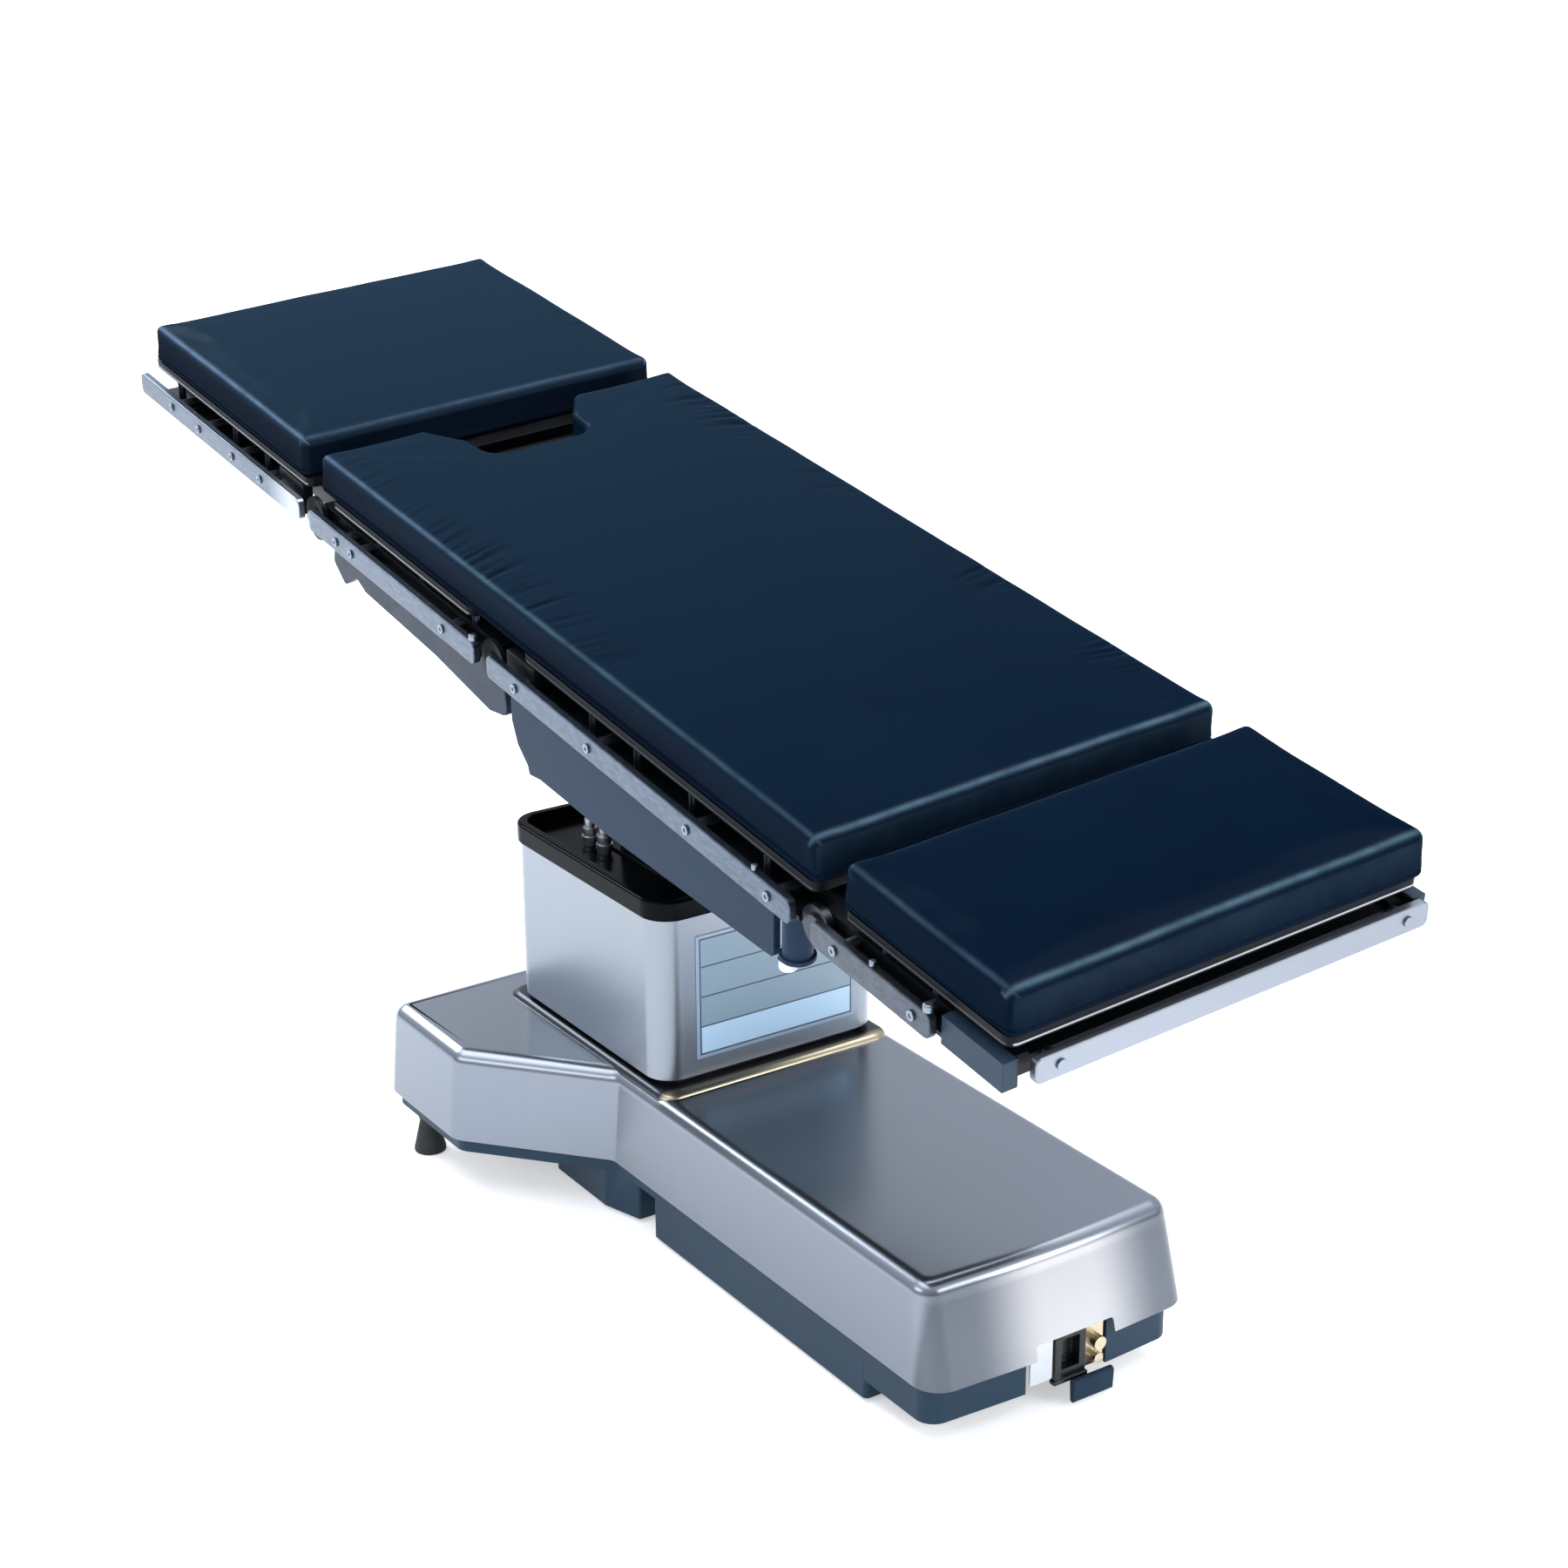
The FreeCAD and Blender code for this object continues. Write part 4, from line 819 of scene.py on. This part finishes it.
def crease(x, y, seed):
    """Height of the drawn creases beside a long edge (mm): short ridges across it, fading in and out along it."""
    edge = HALF_W - abs(y)
    near = min(1.0, max(0.0, (edge - 3) / 7)) * min(1.0, max(0.0, (78 - edge) / 55)) ** 1.3
    if near <= 0:
        return 0.0
    skew = x + 0.30 * (edge - 20) * math.sin(x / 130 + seed)
    where = max(0.0, 0.5 + 1.6 * noise.noise(Vector((x / 120, seed * 3.3, 1.7 if y > 0 else 8.2))))
    if y < 0:
        where = 0.25 * where + 1.05 * math.exp(-((x + 10) / 190.0) ** 2)
    h = noise.noise(Vector((skew / 9.5, y / 130, seed))) + 0.55 * noise.noise(Vector((skew / 5.2, y / 90, seed + 4)))
    return -1.15 * near * min(1.0, where) * (max(0.0, h) ** 0.8)


def cushion(name, x0, x1, cut=None, cap=3.0, voxel=0.008, creases=0.0, seed=0.0):
    bm = pad_solid(x0, x1, cut)
    slices(bm, np.arange(-180, 181, 12), 1)
    slices(bm, np.concatenate((np.arange(-HALF_W + 14, -188, 7), np.arange(188, HALF_W - 12, 7))), 1)
    step = 4.2 if creases else 9.0
    slices(bm, np.arange(x0 + 14, x1 - 12, step), 0)
    me = bpy.data.meshes.new(name)
    bm.to_mesh(me)
    bm.free()
    co = np.empty(len(me.vertices) * 3)
    me.vertices.foreach_get("co", co)
    co = co.reshape(-1, 3)
    base_co = co.copy()
    rest, move = swell(x0, x1, cut, cap, voxel)
    tree = KDTree(len(rest))
    for i, p in enumerate(rest):
        tree.insert(p, i)
    tree.balance()
    out = np.zeros_like(co)
    for i, p in enumerate(co):
        w = 0.0
        for q, j, dist in tree.find_n(p, 10):
            k = 1.0 / (dist * dist + 9.0)
            out[i] += move[j] * k
            w += k
        out[i] /= w
    # the foam gives a firm, nearly level top: full lift in the middle, less by the edges
    low = np.clip((co[:, 2] + PAD_T - 1.0) / 9.0, 0, 1)[:, None]
    co = co + out * low
    # a little unevenness of hand-finished upholstery
    for i, p in enumerate(co):
        k = min(1.0, max(0.0, (p[2] + 46) / 20))
        if creases:
            co[i, 2] += creases * k * crease(p[0], p[1], seed)
        co[i, 2] += 0.55 * k * noise.noise(Vector((p[0] / 85 + seed, p[1] / 70, 3.1)))
        co[i, 1] += 0.35 * k * noise.noise(Vector((p[0] / 60 + seed, p[1] / 60, 9.7 + p[2] / 40)))
    # how much each point lies on the round of a top edge, where the cover gets a painted highlight
    ex = np.stack((HALF_W - 0.8 - np.abs(base_co[:, 1]), x1 - 0.8 - base_co[:, 0], base_co[:, 0] - x0 - 0.8), 1)
    painted_edge_highlight = np.zeros(len(co))
    end_gain = 0.35 if x1 < 0 else 1.0
    side_gain = np.clip(1.0 - (base_co[:, 0] + 950.0) / 1650.0 * 0.55, 0.4, 1.0)
    for k, (r, gain, mid, width) in enumerate(((9.0, side_gain, 36.0, 17.0), (14.0, end_gain, 26.0, 13.0), (14.0, 0.15, 30.0, 20.0))):
        d = -1.6 - base_co[:, 2]
        phi = np.degrees(np.arctan2(r - ex[:, k], r - d))
        on = (ex[:, k] < r + 1.0) & (d < r + 1.0)
        painted_edge_highlight = np.maximum(painted_edge_highlight, np.where(on, gain * np.exp(-((phi - mid) / width) ** 2), 0.0))
    # painted light: the +X end faces of the head and torso cushions get a faint lift of the same painted highlight
    if x1 > 0:
        depth = -1.6 - base_co[:, 2]
        face = (ex[:, 1] < 3.0) & (depth > 7.0)
        painted_edge_highlight = np.maximum(painted_edge_highlight, np.where(face, 0.15 * np.clip(1.0 - (depth - 8.0) / 44.0, 0, 1), 0.0))
    # painted light in the creases: each point's crease depth and slope set a painted shade in the crease and a painted
    # highlight on one slope
    painted_crease_shading = np.zeros(len(co))
    if creases:
        for i, p in enumerate(base_co):
            if p[2] > -9.0:
                here = crease(p[0], p[1], seed)
                slope = crease(p[0] + 2.6, p[1], seed) - crease(p[0] - 2.6, p[1], seed)
                painted_crease_shading[i] = min(1.0, max(-1.0, creases * (-0.9 * here - 1.1 * slope)))
    att = me.attributes.new("painted_crease_shading", "FLOAT", "POINT")
    att.data.foreach_set("value", painted_crease_shading.astype(np.float32))
    att = me.attributes.new("painted_edge_highlight", "FLOAT", "POINT")
    att.data.foreach_set("value", painted_edge_highlight.astype(np.float32))
    me.vertices.foreach_set("co", (co / 1000).ravel())
    me.transform(TOP)
    me.polygons.foreach_set("use_smooth", [True] * len(me.polygons))
    me.update()
    o = bpy.data.objects.new(name, me)
    scene.collection.objects.link(o)
    give(o, M["cushion"])
    return o


leg_cushion = cushion("leg_cushion", -948.0, -473.0, creases=0.4, seed=1.0)
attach(leg_cushion, "leg")
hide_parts("leg_pad")
head_cushion = cushion("head_cushion", 699.2, 968.0, seed=5.0)
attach(head_cushion, "head")
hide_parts("head_pad")
torso_cushion = cushion("torso_cushion", -433.4, 661.5, cut=(115.0, 70.0, 100.0), creases=1.0, seed=9.0)
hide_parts("seat_pad", "back_pad")
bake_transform(torso_cushion)


# ------------------------------------------------------------------ floor and light
def plane(name, size, z):
    bm = bmesh.new()
    bmesh.ops.create_grid(bm, x_segments=8, y_segments=8, size=size)
    me = bpy.data.meshes.new(name)
    bm.to_mesh(me)
    bm.free()
    o = bpy.data.objects.new(name, me)
    scene.collection.objects.link(o)
    o.location.z = z
    return o


floor = plane("floor", 60.0, -0.0005)
floor_m = Mat("floor_paint", (0.93, 0.94, 0.955, 1), 0.85, 0.0, Emission_Color=(1, 1, 1, 1), Emission_Strength=0.45)
floor_m.color(floor_m.mix(floor_m.noise(floor_m.mapped(), 0.8, 2.0), (0.925, 0.935, 0.95, 1), (0.94, 0.95, 0.965, 1)))
give(floor, floor_m.mat)

world = bpy.data.worlds.new("studio")
scene.world = world
world.use_nodes = True
wt = world.node_tree
wt.nodes.clear()
w_out = wt.nodes.new("ShaderNodeOutputWorld")
w_bg = wt.nodes.new("ShaderNodeBackground")
w_co = wt.nodes.new("ShaderNodeTexCoord")
w_sp = wt.nodes.new("ShaderNodeSeparateXYZ")
w_ra = wt.nodes.new("ShaderNodeMapRange")
w_ra.interpolation_type = "SMOOTHSTEP"
for i, x in enumerate((0.70, 0.97, 0.0, 1.0)):
    w_ra.inputs[i + 1].default_value = x
w_mx = wt.nodes.new("ShaderNodeMix")
w_mx.data_type = "RGBA"
w_mx.inputs[6].default_value = (0.68, 0.72, 0.79, 1)
w_mx.inputs[7].default_value = (3.1, 3.2, 3.35, 1)
wt.links.new(w_co.outputs["Generated"], w_sp.inputs[0])
wt.links.new(w_sp.outputs[2], w_ra.inputs[0])
wt.links.new(w_ra.outputs[0], w_mx.inputs[0])
wt.links.new(w_mx.outputs[2], w_bg.inputs["Color"])
w_bg.inputs["Strength"].default_value = 1.0
wt.links.new(w_bg.outputs[0], w_out.inputs[0])


def area(name, loc, target, size, power, color=(1, 1, 1), size_y=None):
    d = bpy.data.lights.new(name, "AREA")
    d.shape = "RECTANGLE"
    d.size, d.size_y = size, size_y or size
    d.energy = power
    d.color = color
    o = bpy.data.objects.new(name, d)
    scene.collection.objects.link(o)
    o.location = loc
    o.rotation_euler = (Vector(target) - Vector(loc)).to_track_quat("-Z", "Y").to_euler()
    return o


area("strip_far", (-3.6, -0.7, 2.9), (0, 0, 0.6), 2.4, 120, (0.90, 0.96, 1), 0.8)
area("soft_top", (0.4, 0.9, 3.4), (0, 0, 0.4), 2.6, 40, (1, 0.99, 0.97), 2.0)
area("soft_left", (0.4, -3.4, 1.9), (0.1, 0, 0.5), 2.4, 24, (0.96, 0.98, 1), 1.0)
area("soft_end", (3.5, 1.3, 1.5), (0.2, 0, 0.4), 2.0, 30, (0.93, 0.97, 1), 1.0)
area("floor_glow", (1.30, 0.36, 0.34), (1.24, 0.34, 0.0), 0.22, 2.0, (1, 0.99, 0.97), 0.22)
